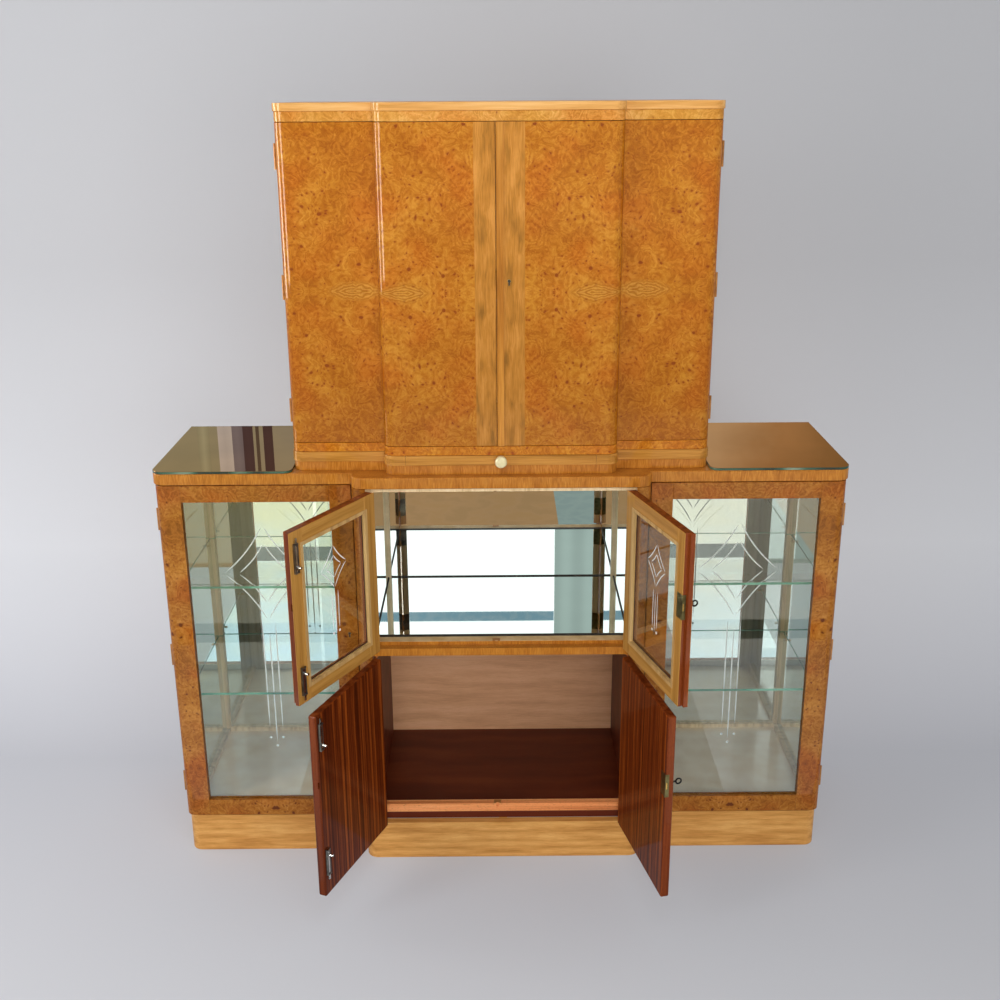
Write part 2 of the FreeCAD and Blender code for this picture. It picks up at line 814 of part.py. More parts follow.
def build_display_door(side, hand):
    low = s.plinth_height + s.door_gap
    high = slab_under - s.door_gap
    hinge = Hinge(side, case_half + hinge_reach, case_front - hinge_offset, low, high, nil)
    name = "display_" + hand
    rear = -hinge_offset
    face = rear - s.display_door_thickness
    near = hinge_reach
    far = case_half + hinge_reach - half_centre - s.display_post_gap
    near_sight = near + s.outer_stile
    far_sight = far - s.inner_stile
    low_sight = low + s.display_bottom_rail
    high_sight = high - s.display_top_rail
    pocket, pane, beads = glazing(name, hinge, (near_sight, far_sight), (low_sight, high_sight),
                                  face, s.display_door_thickness, nil)
    outer = prism(name + "_outer_stile", [
        (hinge.across(near), rear),
        (hinge.across(near), face, s.display_door_radius),
        (hinge.across(near_sight), face),
        (hinge.across(near_sight), rear),
    ], (low, high), s.member_softening)
    width = (hinge.across(near_sight), hinge.across(far_sight))
    members = [
        outer,
        soft_block(name + "_inner_stile", (hinge.across(far_sight), hinge.across(far)),
                   (face, rear), (low, high), s.member_softening),
        soft_block(name + "_top_rail", width, (face, rear), (high_sight, high),
                   s.member_softening),
        soft_block(name + "_bottom_rail", width, (face, rear), (low, low_sight),
                   s.member_softening),
    ]
    frame = []
    for count, member in enumerate(members):
        tools = [pocket]
        if count == 1:
            tools += keyhole(name, hinge.across(far - s.keyhole_inset), face, s.keyhole_height)
        frame.append(cut(f"{name}_member_{count}", member, *tools))
    hinge.hang("display_door_" + hand, *frame, *beads)
    hinge.hang("display_pane_" + hand, pane)
    hinge.hang("display_hinges_" + hand, *hinges(name, hinge, display_hinge_shares, inset=False))


def lock(name, hinge, edge, rear, z):
    # A box lock let into the door from behind, flush with its free edge. Returns its pocket and
    # key way, the case, the bolt and the key.
    half = s.lock_height / 2
    front = rear - s.lock_depth
    case_x = (hinge.across(edge - s.lock_width), hinge.across(edge))
    pocket = block(name + "_pocket", (hinge.across(edge - s.lock_width),
                                      hinge.across(edge + s.overrun)),
                   (front, rear + s.overrun), (z - half, z + half))
    key_x = hinge.across(edge - s.lock_backset)
    leaf_face = rear - s.leaf_thickness
    way = rod(name + "_way", "y", s.key_radius + s.key_hole_clearance,
              (leaf_face - s.overrun, front + s.lock_wall + s.bolt_clearance), x=key_x, z=z)
    wall = s.lock_wall
    cavity = block(name + "_cavity",
                   (hinge.across(edge - s.lock_width + wall), hinge.across(edge - wall)),
                   (front + wall, rear - wall), (z - half + wall, z + half - wall))
    bolt_high = rear - wall - s.bolt_clearance
    bolt_low = bolt_high - s.lock_bolt_thickness
    bolt_half = s.lock_bolt_height / 2
    slot = block(name + "_slot", (hinge.across(edge - wall - s.overrun),
                                  hinge.across(edge + s.overrun)),
                 (bolt_low - s.bolt_clearance, bolt_high + s.bolt_clearance),
                 (z - bolt_half - s.bolt_clearance, z + bolt_half + s.bolt_clearance))
    case = cut(name + "_case", block(name + "_box", case_x, (front, rear), (z - half, z + half)),
               cavity, way, slot)
    bolt = block(name + "_tongue", (hinge.across(edge - s.lock_bolt_length), hinge.across(edge)),
                 (bolt_low, bolt_high), (z - bolt_half, z + bolt_half))
    bit_high = bolt_low - s.bolt_clearance
    bow_centre = leaf_face - s.key_reach + s.key_bow_radius
    shaft = rod(name + "_shaft", "y", s.key_radius,
                (bow_centre + s.key_bow_radius - s.key_wire * 2, bit_high), x=key_x, z=z)
    bit = block(name + "_bit", (key_x - s.key_bit_thickness / 2, key_x + s.key_bit_thickness / 2),
                (bit_high - s.key_bit_length, bit_high), (z - s.key_bit_height, z))
    bow = doc.addObject("Part::Torus", name + "_bow")
    bow.setExpression("Radius1", (s.key_bow_radius - s.key_wire).text)
    bow.setExpression("Radius2", s.key_wire.text)
    bow.Placement.Rotation = turns["x"]
    set_base(bow, x=key_x, y=bow_centre, z=z)
    key = unite(name + "_key", shaft, bit, bow)
    return [pocket, way], case, bolt, key


def flush_bolt(name, hinge, meeting, rear, tip, up):
    # A lever bolt on the inner face: a plate with side guides and two straps, and the bar that
    # slides in it. The tip is the level of the bar's end, and up is 1 or -1.
    def reach(start, end):
        return tip - start * up, tip - end * up

    x = meeting - s.bolt_inset
    half = s.bolt_plate_width / 2
    bar_half = s.bolt_width / 2
    guide = bar_half + s.bolt_clearance
    base = rear + s.bolt_plate_thickness
    bar_top = base + s.bolt_thickness
    strap_low = bar_top + s.bolt_clearance
    first = s.bolt_plate_gap
    last = first + s.bolt_plate_height
    whole = reach(first, last)
    sheet_metal = [block(name + "_base", (hinge.across(x - half), hinge.across(x + half)),
                         (rear, base), whole)]
    for sign, tag in ((-1, "near"), (1, "far")):
        sheet_metal.append(block(f"{name}_guide_{tag}",
                                 (hinge.across(x + guide * sign), hinge.across(x + half * sign)),
                                 (base, strap_low), whole))
    for count, start in enumerate((first, last - s.bolt_strap_height)):
        sheet_metal.append(block(f"{name}_strap_{count}",
                                 (hinge.across(x - half), hinge.across(x + half)),
                                 (strap_low, strap_low + s.bolt_strap),
                                 reach(start, start + s.bolt_strap_height)))
    plate = unite(name + "_plate", *sheet_metal)
    bar = block(name + "_bar", (hinge.across(x - bar_half), hinge.across(x + bar_half)),
                (base, bar_top), reach(nil, last))
    knob = rod(name + "_knob", "y", s.bolt_knob_radius, (bar_top, bar_top + s.bolt_knob_length),
               x=hinge.across(x), z=tip - s.bolt_knob_offset * up)
    return plate, unite(name + "_slider", bar, knob)


def strike(name, hinge, edge, rear, z):
    # the pocket in the other door's edge that the lock's bolt goes into
    high = rear - s.lock_wall
    low = high - s.lock_bolt_thickness - s.bolt_clearance * 2
    half = s.lock_bolt_height / 2 + s.bolt_clearance
    return block(name, (hinge.across(edge - s.socket_depth), hinge.across(edge + s.overrun)),
                 (low, high), (z - half, z + half))


def centre_hinge(side, low, high, opened):
    return Hinge(side, s.opening_half_width - hinge_offset, centre_front - hinge_reach, low, high,
                 opened)


def build_bar_door(side, hand, opened):
    low = s.rail_top - s.upper_overlap
    high = slab_under - s.door_gap
    hinge = centre_hinge(side, low, high, opened)
    name = "bar_" + hand
    face = hinge_reach
    rear = face + s.leaf_thickness
    near = hinge_offset
    middle = s.opening_half_width - hinge_offset
    half_gap = s.meeting_gap / 2
    lap = s.leaf_rebate / 2
    # the right leaf laps over the left one in front, and the left one behind it
    front_far = middle - half_gap + lap * side
    rear_far = middle - half_gap - lap * side
    near_sight = near + s.leaf_stile
    far_sight = middle - s.leaf_stile
    low_sight = low + s.leaf_rail
    high_sight = high - s.leaf_rail
    pocket, pane, beads = glazing(name, hinge, (near_sight, far_sight), (low_sight, high_sight),
                                  face, s.leaf_thickness, s.bead_proud)
    width = (hinge.across(near_sight), hinge.across(far_sight))
    soft = s.leaf_softening
    waist = face + s.leaf_thickness / 2
    free_stile = prism(name + "_free_stile", [
        (hinge.across(far_sight), face),
        (hinge.across(front_far), face),
        (hinge.across(front_far), waist),
        (hinge.across(rear_far), waist),
        (hinge.across(rear_far), rear),
        (hinge.across(far_sight), rear),
    ], (low, high), soft)
    members = [
        free_stile,
        soft_block(name + "_hung_stile", (hinge.across(near), hinge.across(near_sight)),
                   (face, rear), (low, high), soft),
        soft_block(name + "_top_rail", width, (face, rear), (high_sight, high), soft),
        soft_block(name + "_bottom_rail", width, (face, rear), (low, low_sight), soft),
    ]
    fittings = hinges(name, hinge, leaf_hinge_shares)
    tools = [pocket]
    if side > 0:
        pockets, case, bolt, key = lock("bar_lock", hinge, rear_far, rear, s.bar_lock_level)
        tools += pockets
        fittings.append(case)
        hinge.hang("bar_lock_bolt", bolt)
        hinge.hang("bar_key", key)
    else:
        tools.append(strike("bar_strike", hinge, rear_far, rear, s.bar_lock_level))
        meeting = middle - half_gap
        for tag, tip, up in (("top", slab_under - s.lip_height - s.bolt_end_gap, 1),
                             ("base", s.rail_top + s.bolt_end_gap, -1)):
            plate, slider = flush_bolt(f"bar_{tag}_bolt", hinge, meeting, rear, tip, up)
            fittings.append(plate)
            hinge.hang(f"bar_{tag}_bolt", slider)
    frame = [cut(f"{name}_member_{count}", member, *(tools if count == 0 else [pocket]))
             for count, member in enumerate(members)]
    hinge.hang("bar_door_" + hand, *frame)
    hinge.hang("bar_pane_" + hand, pane)
    hinge.hang("bar_beads_" + hand, *beads)
    hinge.hang("bar_fittings_" + hand, *fittings)


def build_lower_door(side, hand, opened):
    low = s.plinth_height + s.door_gap
    high = rail_bottom + s.lower_overlap
    hinge = centre_hinge(side, low, high, opened)
    name = "lower_" + hand
    face = hinge_reach
    rear = face + s.leaf_thickness
    far = s.opening_half_width - hinge_offset - s.meeting_gap / 2
    leaf = soft_block(name + "_leaf", (hinge.across(hinge_offset), hinge.across(far)),
                      (face, rear), (low, high), s.lower_leaf_softening)
    fittings = hinges(name, hinge, leaf_hinge_shares)
    if side > 0:
        tools, case, bolt, key = lock("lower_lock", hinge, far, rear, s.lower_lock_level)
        fittings.append(case)
        hinge.hang("lower_lock_bolt", bolt)
        hinge.hang("lower_key", key)
    else:
        tools = [strike("lower_strike", hinge, far, rear, s.lower_lock_level)]
        sill_top = bottom_top + s.sill_height
        for tag, tip, up in (("top", rail_bottom - s.bolt_end_gap, 1),
                             ("base", sill_top + s.bolt_end_gap, -1)):
            plate, slider = flush_bolt(f"lower_{tag}_bolt", hinge, far, rear, tip, up)
            fittings.append(plate)
            hinge.hang(f"lower_{tag}_bolt", slider)
    hinge.hang("lower_door_" + hand, cut(name + "_cut", leaf, *tools))
    hinge.hang("lower_fittings_" + hand, *fittings)


upper_half = s.upper_width / 2
upper_front = side_front + s.upper_setback
upper_front_centre = upper_front - s.step_forward
# the front of the side panels, which the doors cover
upper_case_front = upper_front + s.upper_leaf_thickness + s.hinge_gap
base_top = s.slab_top + s.upper_base_height
band_top = base_top + s.band_height
upper_floor = band_top + s.upper_bottom_height
frieze_under = s.overall_height - s.cap_height - s.frieze_height
upper_inner = upper_half - s.upper_side_thickness


def upper_board(name, z, proud, rear=back):
    outline = stepped(upper_half + proud, s.upper_half_centre + proud, upper_front - proud,
                      upper_front_centre - proud, s.upper_radius + proud, rear)
    return prism(name, outline, z, s.board_softening)


def build_upper():
    node("upper_base", upper_board("base_board", (s.slab_top, base_top), nil))
    node("upper_bottom", upper_board("upper_bottom_board", (band_top, upper_floor), nil))
    node("upper_frieze", upper_board("frieze_board",
                                     (frieze_under, frieze_under + s.frieze_height), nil))
    node("upper_cap", upper_board("cap_board", (s.overall_height - s.cap_height,
                                                s.overall_height), s.cap_proud))
    sides = []
    band = []
    slot = s.slide_half_width + s.slide_clearance
    proud = s.band_proud
    front = upper_front - proud
    for side, hand in ((-1, "left"), (1, "right")):
        sides.append(prism("upper_side_" + hand, [
            (upper_inner * side, upper_case_front),
            (upper_half * side, upper_case_front),
            (upper_half * side, back),
            (upper_inner * side, back),
        ], (upper_floor, frieze_under)))
        band.append(prism("band_" + hand, [
            (slot * side, upper_front_centre - proud),
            ((s.upper_half_centre + proud) * side, upper_front_centre - proud,
             s.upper_radius + proud),
            ((s.upper_half_centre + proud) * side, front),
            ((upper_half + proud) * side, front, s.upper_radius + proud),
            ((upper_half + proud) * side, back),
            (slot * side, back),
        ], (base_top, band_top), s.board_softening))
    node("upper_sides", *sides)
    slide_rear = upper_front_centre - proud + s.slide_depth
    band.append(block("band_rear", (-slot, slot), (slide_rear + s.slide_clearance, back),
                      (base_top, band_top)))
    node("slide_band", *band)
    inner = (-upper_inner, upper_inner)
    node("upper_back", block("upper_back_board", inner, (panel_front, back),
                             (upper_floor, frieze_under)))
    node("upper_shelf", block("upper_shelf_board", inner,
                              (upper_front + s.upper_shelf_setback, panel_front),
                              (s.upper_shelf_height - s.upper_shelf_thickness,
                               s.upper_shelf_height)))


def build_slide():
    front = upper_front_centre - s.band_proud
    low = base_top + s.slide_clearance
    width = (-s.slide_half_width, s.slide_half_width)
    board = block("slide_leaf", width, (front, front + s.slide_depth),
                  (low, low + s.slide_board_thickness))
    face = soft_block("slide_face", width, (front, front + s.slide_front_thickness),
                      (low, band_top - s.slide_clearance), s.board_softening)
    node("slide_board", unite("slide_joined", board, face))
    z = (low + band_top - s.slide_clearance) / 2
    neck = rod("knob_neck", "y", s.knob_neck_radius, (front - s.knob_neck_length, front), x=nil, z=z)
    head = doc.addObject("PartDesign::Body", "knob_head")
    turned = head.newObject("PartDesign::AdditiveCylinder", "knob_turning")
    turned.setExpression("Radius", s.knob_radius.text)
    turned.setExpression("Height", s.knob_length.text)
    doc.recompute()
    crown = head.newObject("PartDesign::Fillet", "knob_crown")
    crown.Base = (turned, ["Face1"])
    crown.UseAllEdges = True
    crown.setExpression("Radius", s.knob_softening.text)
    head.Tip = crown
    head.Placement.Rotation = turns["y"]
    set_base(head, x=nil, y=front - s.knob_neck_length - s.knob_length, z=z)
    node("slide_knob", unite("knob_joined", neck, head))


def build_upper_door(side, hand):
    low = upper_floor + s.upper_door_gap
    high = frieze_under - s.upper_door_gap
    axis = upper_half + hinge_reach
    hinge = Hinge(side, axis, upper_case_front - hinge_offset, low, high, nil)
    name = "upper_" + hand
    rear = -hinge_offset
    centre_rear = rear - s.step_forward
    face = rear - s.upper_leaf_thickness
    centre_face = face - s.step_forward
    step = axis - s.upper_half_centre
    far = axis + s.meeting_offset * side - s.meeting_gap / 2
    leaf = prism(name + "_leaf", [
        (hinge.across(hinge_reach), face, s.upper_radius),
        (hinge.across(step), face),
        (hinge.across(step), centre_face, s.upper_radius),
        (hinge.across(far), centre_face),
        (hinge.across(far), centre_rear),
        (hinge.across(step + s.upper_leaf_thickness), centre_rear),
        (hinge.across(step + s.upper_leaf_thickness), rear),
        (hinge.across(hinge_reach), rear),
    ], (low, high), s.upper_leaf_softening)
    if side > 0:
        leaf = cut(name + "_cut", leaf, *keyhole(name, hinge.across(axis - s.upper_keyhole_offset),
                                                 centre_face, s.upper_keyhole_height))
        hinge.hang("astragal", block("astragal_strip", (
            hinge.across(far), hinge.across(far - s.astragal_width)),
            (centre_face - s.astragal_proud, centre_face), (low, high)))
    hinge.hang("upper_door_" + hand, leaf)
    hinge.hang("upper_hinges_" + hand, *hinges(name, hinge, upper_hinge_shares, inset=False))


build_plinth()
build_case()
build_counter()
build_display_insides()
build_centre()
build_upper()
build_slide()
for side, hand, bar_open, lower_open in (
        (-1, "left", opened.bar_left_angle, opened.lower_left_angle),
        (1, "right", opened.bar_right_angle, opened.lower_right_angle)):
    build_display_door(side, hand)
    build_bar_door(side, hand, bar_open)
    build_lower_door(side, hand, lower_open)
    build_upper_door(side, hand)
node("fixed_fittings", *fixed_fittings)
node("trim_beads", *trim_beads)

# nothing is written unless every object is sound
doc.recompute()
faults = [o.Name for o in doc.Objects if "Invalid" in o.State or "Error" in o.State]
for thing in parts:
    shape = thing.Shape
    if shape.isNull() or not shape.isValid() or not shape.Solids:
        faults.append(thing.Label)
if faults:
    raise RuntimeError("unsound: " + ", ".join(faults))
os.makedirs("parts", exist_ok=True)
for thing in parts:
    thing.Shape.exportStep(f"parts/{thing.Label}.step")
    print(f"{thing.Label}: solids {len(thing.Shape.Solids)}, volume {thing.Shape.Volume:.0f}")
print(len(parts), "parts")
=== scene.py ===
import functools
import json
import math

import bmesh
import bpy
import numpy as np
from mathutils import Matrix, Vector


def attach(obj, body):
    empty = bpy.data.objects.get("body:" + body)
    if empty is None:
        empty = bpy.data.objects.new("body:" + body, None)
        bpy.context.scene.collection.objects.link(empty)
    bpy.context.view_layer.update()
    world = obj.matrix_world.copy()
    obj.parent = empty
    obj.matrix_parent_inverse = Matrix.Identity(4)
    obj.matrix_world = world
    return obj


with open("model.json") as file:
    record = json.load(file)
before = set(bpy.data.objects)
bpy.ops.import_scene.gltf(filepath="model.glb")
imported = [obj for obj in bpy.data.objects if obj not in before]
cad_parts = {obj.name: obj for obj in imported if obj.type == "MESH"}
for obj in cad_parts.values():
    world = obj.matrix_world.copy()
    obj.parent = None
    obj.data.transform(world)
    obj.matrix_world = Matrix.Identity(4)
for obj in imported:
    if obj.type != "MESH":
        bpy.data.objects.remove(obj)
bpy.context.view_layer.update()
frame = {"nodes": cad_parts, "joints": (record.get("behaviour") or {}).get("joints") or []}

nodes = frame["nodes"]
joints = {joint["name"]: joint for joint in frame["joints"]}


# small helpers

millimetre = 0.001  # in metres, as the scene counts


def linear(colour):
    # an sRGB hex colour as the linear one that the shaders take
    parts = [int(colour[i:i + 2], 16) / 255 for i in (1, 3, 5)]
    return (*(c / 12.92 if c <= 0.04045 else ((c + 0.055) / 1.055) ** 2.4 for c in parts), 1)


def addNode(tree, kind, inputs=None, out=0, **settings):
    # adds a node with its settings and links; returns an output, or the node where out is None
    node = tree.nodes.new("ShaderNode" + kind)
    stops = settings.pop("stops", ())
    for name, value in settings.items():
        setattr(node, name, value)
    while stops and len(node.color_ramp.elements) < len(stops):
        node.color_ramp.elements.new(0.5)
    for element, (place, colour) in zip(node.color_ramp.elements if stops else (), stops):
        element.position = place
        element.color = linear(colour)
    for name, value in (inputs or {}).items():
        if isinstance(value, bpy.types.NodeSocket):
            tree.links.new(value, node.inputs[name])
        else:
            node.inputs[name].default_value = value
    return node if out is None else node.outputs[out]


def newMaterial(name):
    material = bpy.data.materials.new(name)
    material.use_nodes = True
    material.node_tree.nodes.clear()
    return material, functools.partial(addNode, material.node_tree)


def objectPlace(add, turned=0.0, origin=(0, 0, 0)):
    # the piece's own place in millimetres, from a hinge line and turned back with its leaf
    return add("Mapping", {"Vector": add("TexCoord", out="Object"), "Location": origin,
                           "Rotation": (0, 0, turned), "Scale": (millimetre,) * 3},
               vector_type="TEXTURE")


def leafFrame(name):
    # side, hinge place and the angle that the leaf stands open at rest
    joint = joints[name]
    side = joint["axis"][2]
    return side, Vector(joint["pos_m"]), math.radians(-joint["range_deg"][0]) * side


def onLeaf(name, points):
    # points given as across, depth and height on the shut leaf, put where the leaf stands
    side, hinge, turned = leafFrame(name)
    across, depth, height = np.moveaxis(points, -1, 0)
    x = -side * across
    return np.stack([hinge.x + x * math.cos(turned) - depth * math.sin(turned),
                     hinge.y + x * math.sin(turned) + depth * math.cos(turned), height], -1)


def gridFaces(rows, columns, wrap, start):
    # quads between neighbouring rows; wrap joins the last column to the first
    row, column = np.meshgrid(np.arange(rows - 1), np.arange(columns if wrap else columns - 1),
                              indexing="ij")
    beside = (column + 1) % columns
    corner = start + row * columns
    return np.stack([corner + column, corner + beside, corner + columns + beside,
                     corner + columns + column], -1).reshape(-1, 4).tolist()


sharpFrom = 35.0  # degrees between two faces, past which their edge stays sharp
weldWithin = 1e-7  # metres between two corners, up to which they become one


def addPiece(name, grids, material, body):
    # one object from closed tubes, each a grid of rows of points with its two ends capped
    points, faces, start = [], [], 0
    for grid in grids:
        rows, columns = grid.shape[:2]
        faces += gridFaces(rows, columns, True, start)
        faces.append(list(range(start, start + columns)))
        last = start + (rows - 1) * columns
        faces.append(list(range(last, last + columns))[::-1])
        points.append(grid.reshape(-1, 3))
        start += rows * columns
    mesh = bpy.data.meshes.new(name)
    mesh.from_pydata(np.concatenate(points).tolist(), [], faces)
    shell = bmesh.new()
    shell.from_mesh(mesh)
    bmesh.ops.remove_doubles(shell, verts=shell.verts, dist=weldWithin)
    bmesh.ops.recalc_face_normals(shell, faces=shell.faces)
    shell.to_mesh(mesh)
    shell.free()
    mesh.polygons.foreach_set("use_smooth", [True] * len(mesh.polygons))
    mesh.set_sharp_from_angle(angle=math.radians(sharpFrom))
    piece = bpy.data.objects.new(name, mesh)
    bpy.context.scene.collection.objects.link(piece)
    mesh.materials.append(material)
    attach(piece, body)
    return piece


# wood figures

# burl walnut: sizes are millimetres, tones and warmth are places on the ramps of three colours,
# octaves roughen the outlines of a noise and twist curls them
burl = {
    "light": "#D28E2E", "middle": "#BB7016", "deep": "#9C5408", "tones": (0.34, 0.5, 0.68),
    "olive": "#F6F2D2", "rust": "#FCEAD6", "warmth": (0.36, 0.5, 0.66), "mottle": 7.0,
    "mottleShare": 0.34, "curl": 34.0, "curlLines": 6.0, "curlShare": 0.06, "vein": 22.0,
    "veinWidth": 0.03, "veinShare": 0.075, "patch": 90.0, "patchShare": 0.1, "drift": 45.0,
    "driftReach": 30.0, "eye": "#86380A", "halo": "#9E500E", "eyes": ((24.0, 3.0), (10.0, 1.4)),
    "eyeSize": 1.7, "eyeSoft": 0.8, "eyeShare": 0.85, "haloReach": 4.0, "haloShare": 0.55,
    "gather": 90.0, "gathered": (0.4, 0.56), "strays": 0.1, "patchSpan": (0.3, 0.7),
    "warmPatch": 112.5, "mottleRoughness": 0.6,
    "octaves": {"drift": 3.0, "mottle": 4.0, "curl": 2.5, "vein": 2.0, "patch": 3.0, "warm": 2.0,
                "gather": 1.0},
    "twist": {"mottle": 1.2, "curl": 0.8, "vein": 1.5},
}
# the same veneer on the low case, darker and browner
caseworkBurl = {**burl, "light": "#BA7E34", "middle": "#A0621E", "deep": "#80480E",
                "eye": "#5A260A", "halo": "#7A3C0E", "rust": "#F8DCC0"}
# the frieze's burl with small eyes, painted lighter: partly its own colour, partly a painted sheen
friezeBurl = {**burl, "light": "#E8B060", "middle": "#D49440", "deep": "#BA7826",
              "eyes": ((16.0, 1.6),)}


def woodStops(places, look):
    # the dark, middle and light colour of a wood at their places on a ramp
    return tuple(zip(places, (look["deep"], look["middle"], look["light"])))


def addEyes(add, place, colour, look, spacing, radius):
    # bud eyes, one to a cell, of uneven size and gathered in drifts, each dark in a redder halo
    cell = add("TexVoronoi", {"Vector": place, "Scale": 1 / spacing}, out=None)
    chance = add("SeparateXYZ", {0: cell.outputs["Color"]})
    drift = add("TexNoise", {"Vector": place, "Scale": 1 / look["gather"],
                             "Detail": look["octaves"]["gather"]})
    few, many = look["gathered"]
    gathered = add("MapRange", {"Value": drift, "From Min": few, "From Max": many,
                                "To Min": look["strays"]})
    size = add("Math", {0: chance, 1: gathered}, operation="MULTIPLY")
    size = add("Math", {0: size, 1: radius * look["eyeSize"] / spacing}, operation="MULTIPLY")
    beyond = add("Math", {0: cell.outputs["Distance"], 1: size}, operation="SUBTRACT")
    soft = look["eyeSoft"] / spacing
    for reach, share, shade in ((soft * look["haloReach"], look["haloShare"], "halo"),
                                (soft, look["eyeShare"], "eye")):
        near = add("MapRange", {"Value": beyond, "From Min": -soft, "From Max": reach,
                                "To Min": share, "To Max": 0.0})
        colour = add("MixRGB", {"Fac": near, "Color1": colour, "Color2": linear(look[shade])})
    return colour


def burlFigure(add, place, look=burl):
    # mottled burl: curled growth lines, pale veins, slow patches of colour, and eyes;
    # sizes in look are millimetres
    octaves, twist = look["octaves"], look["twist"]
    drift = add("TexNoise", {"Vector": place, "Scale": 1 / look["drift"],
                             "Detail": octaves["drift"]}, out=1)
    drift = add("VectorMath", {0: drift, 1: (0.5, 0.5, 0.5)}, operation="SUBTRACT")
    moved = add("VectorMath", {0: drift, 1: (look["driftReach"],) * 3, 2: place},
                operation="MULTIPLY_ADD")
    mottle = add("TexNoise", {"Vector": moved, "Scale": 1 / look["mottle"],
                              "Detail": octaves["mottle"], "Roughness": look["mottleRoughness"],
                              "Distortion": twist["mottle"]})
    growth = add("TexNoise", {"Vector": moved, "Scale": 1 / look["curl"],
                              "Detail": octaves["curl"], "Distortion": twist["curl"]})
    phase = add("Math", {0: growth, 1: look["curlLines"] * math.tau}, operation="MULTIPLY")
    curl = add("MapRange", {"Value": add("Math", {0: phase}, operation="SINE"), "From Min": -1.0,
                            "To Min": -look["curlShare"], "To Max": look["curlShare"]})
    vein = add("TexNoise", {"Vector": moved, "Scale": 1 / look["vein"],
                            "Detail": octaves["vein"], "Distortion": twist["vein"]})
    vein = add("Math", {0: vein, 1: 0.5}, operation="SUBTRACT")
    vein = add("MapRange", {"Value": add("Math", {0: vein}, operation="ABSOLUTE"),
                            "From Max": look["veinWidth"], "To Min": look["veinShare"],
                            "To Max": 0.0})
    patch = add("TexNoise", {"Vector": moved, "Scale": 1 / look["patch"],
                             "Detail": octaves["patch"]})
    poor, rich = look["patchSpan"]
    patch = add("MapRange", {"Value": patch, "From Min": poor, "From Max": rich,
                             "To Min": -look["patchShare"], "To Max": look["patchShare"]})
    figure = add("MapRange", {"Value": mottle, "To Min": 0.5 - look["mottleShare"] / 2,
                              "To Max": 0.5 + look["mottleShare"] / 2})
    for part in (curl, vein, patch):
        figure = add("Math", {0: figure, 1: part}, operation="ADD")
    colour = add("ValToRGB", {0: figure}, stops=woodStops(look["tones"], look))
    warm = add("TexNoise", {"Vector": place, "Scale": 1 / look["warmPatch"],
                            "Detail": octaves["warm"]})
    warm = add("ValToRGB", {0: warm}, stops=tuple(zip(look["warmth"], (look["olive"], "#FFFFFF",
                                                                       look["rust"]))))
    colour = add("MixRGB", {"Fac": 1.0, "Color1": colour, "Color2": warm}, blend_type="MULTIPLY")
    for spacing, radius in look["eyes"]:
        colour = addEyes(add, moved, colour, look, spacing, radius)
    return colour, figure


# places on the ramps of colour and of pores, and the octaves of each layer's noise
grainForm = {"tones": (0.34, 0.5, 0.66), "pores": (0.66, 0.74),
             "octaves": {"wave": 2.0, "band": 2.0, "fibre": 3.0, "pore": 0.0}}


def grainFigure(add, place, look):
    # straight-grown wood: slow bands of colour and fine fibres along one axis, with open pores;
    # along is 0, 1 or 2 for X, Y or Z, and sizes in look are millimetres
    octaves = grainForm["octaves"]
    drift = add("TexNoise", {"Vector": place, "Scale": 1 / look["waveLength"],
                             "Detail": octaves["wave"]}, out=1)
    drift = add("VectorMath", {0: drift, 1: (0.5, 0.5, 0.5)}, operation="SUBTRACT")
    moved = add("VectorMath", {0: drift, 1: (look["waveReach"],) * 3, 2: place},
                operation="MULTIPLY_ADD")
    layers = []
    for layer in ("band", "fibre", "pore"):
        scale = [1 / look[layer]] * 3
        scale[look["along"]] = 1 / look[layer + "Length"]
        stretched = add("VectorMath", {0: moved, 1: scale}, operation="MULTIPLY")
        layers.append(add("TexNoise", {"Vector": stretched, "Scale": 1.0,
                                       "Detail": octaves[layer]}))
    band, fibre, pore = layers
    figure = add("MixRGB", {"Fac": look["fibreShare"], "Color1": band, "Color2": fibre})
    colour = add("ValToRGB", {0: figure}, stops=woodStops(grainForm["tones"], look))
    closed, opened = grainForm["pores"]
    pores = add("MapRange", {"Value": pore, "From Min": closed, "From Max": opened, "To Min": 0.0,
                             "To Max": look["poreShare"]})
    colour = add("MixRGB", {"Fac": pores, "Color1": colour, "Color2": linear(look["poreColour"])})
    return colour, fibre


# french polish, smooth and glossy, and a satin finish on the parts that are seldom looked at
polish = {"roughness": 0.5, "specular": 0.05, "coat": 0.42, "coatRoughness": 0.05, "bump": 0.05}
satin = {"roughness": 0.55, "specular": 0.25, "coat": 0.2, "coatRoughness": 0.25, "bump": 0.15}
dullPolish = {**polish, "coat": 0.2}
film = {"ior": 1.5, "depth": 0.0004}  # depth of the grain under the film, in metres


def lacquer(add, colour, height, look):
    # polished or sprayed wood: a satin body under a clear film
    bump = add("Bump", {"Height": height, "Strength": look["bump"], "Distance": film["depth"]})
    shader = add("BsdfPrincipled", {"Base Color": colour, "Roughness": look["roughness"],
                                    "IOR": film["ior"], "Specular IOR Level": look["specular"],
                                    "Coat Weight": look["coat"],
                                    "Coat Roughness": look["coatRoughness"], "Normal": bump})
    add("OutputMaterial", {"Surface": shader}, out=None)


# ash: pale, with slow honey bands and open pores
ash = {"light": "#E0AA62", "middle": "#D0964E", "deep": "#B67C3A", "poreColour": "#A87434",
       "along": 0, "band": 13.0, "bandLength": 150.0, "fibre": 2.2, "fibreLength": 34.0,
       "pore": 0.7, "poreLength": 9.0, "poreShare": 0.25, "fibreShare": 0.35,
       "waveLength": 160.0, "waveReach": 9.0}
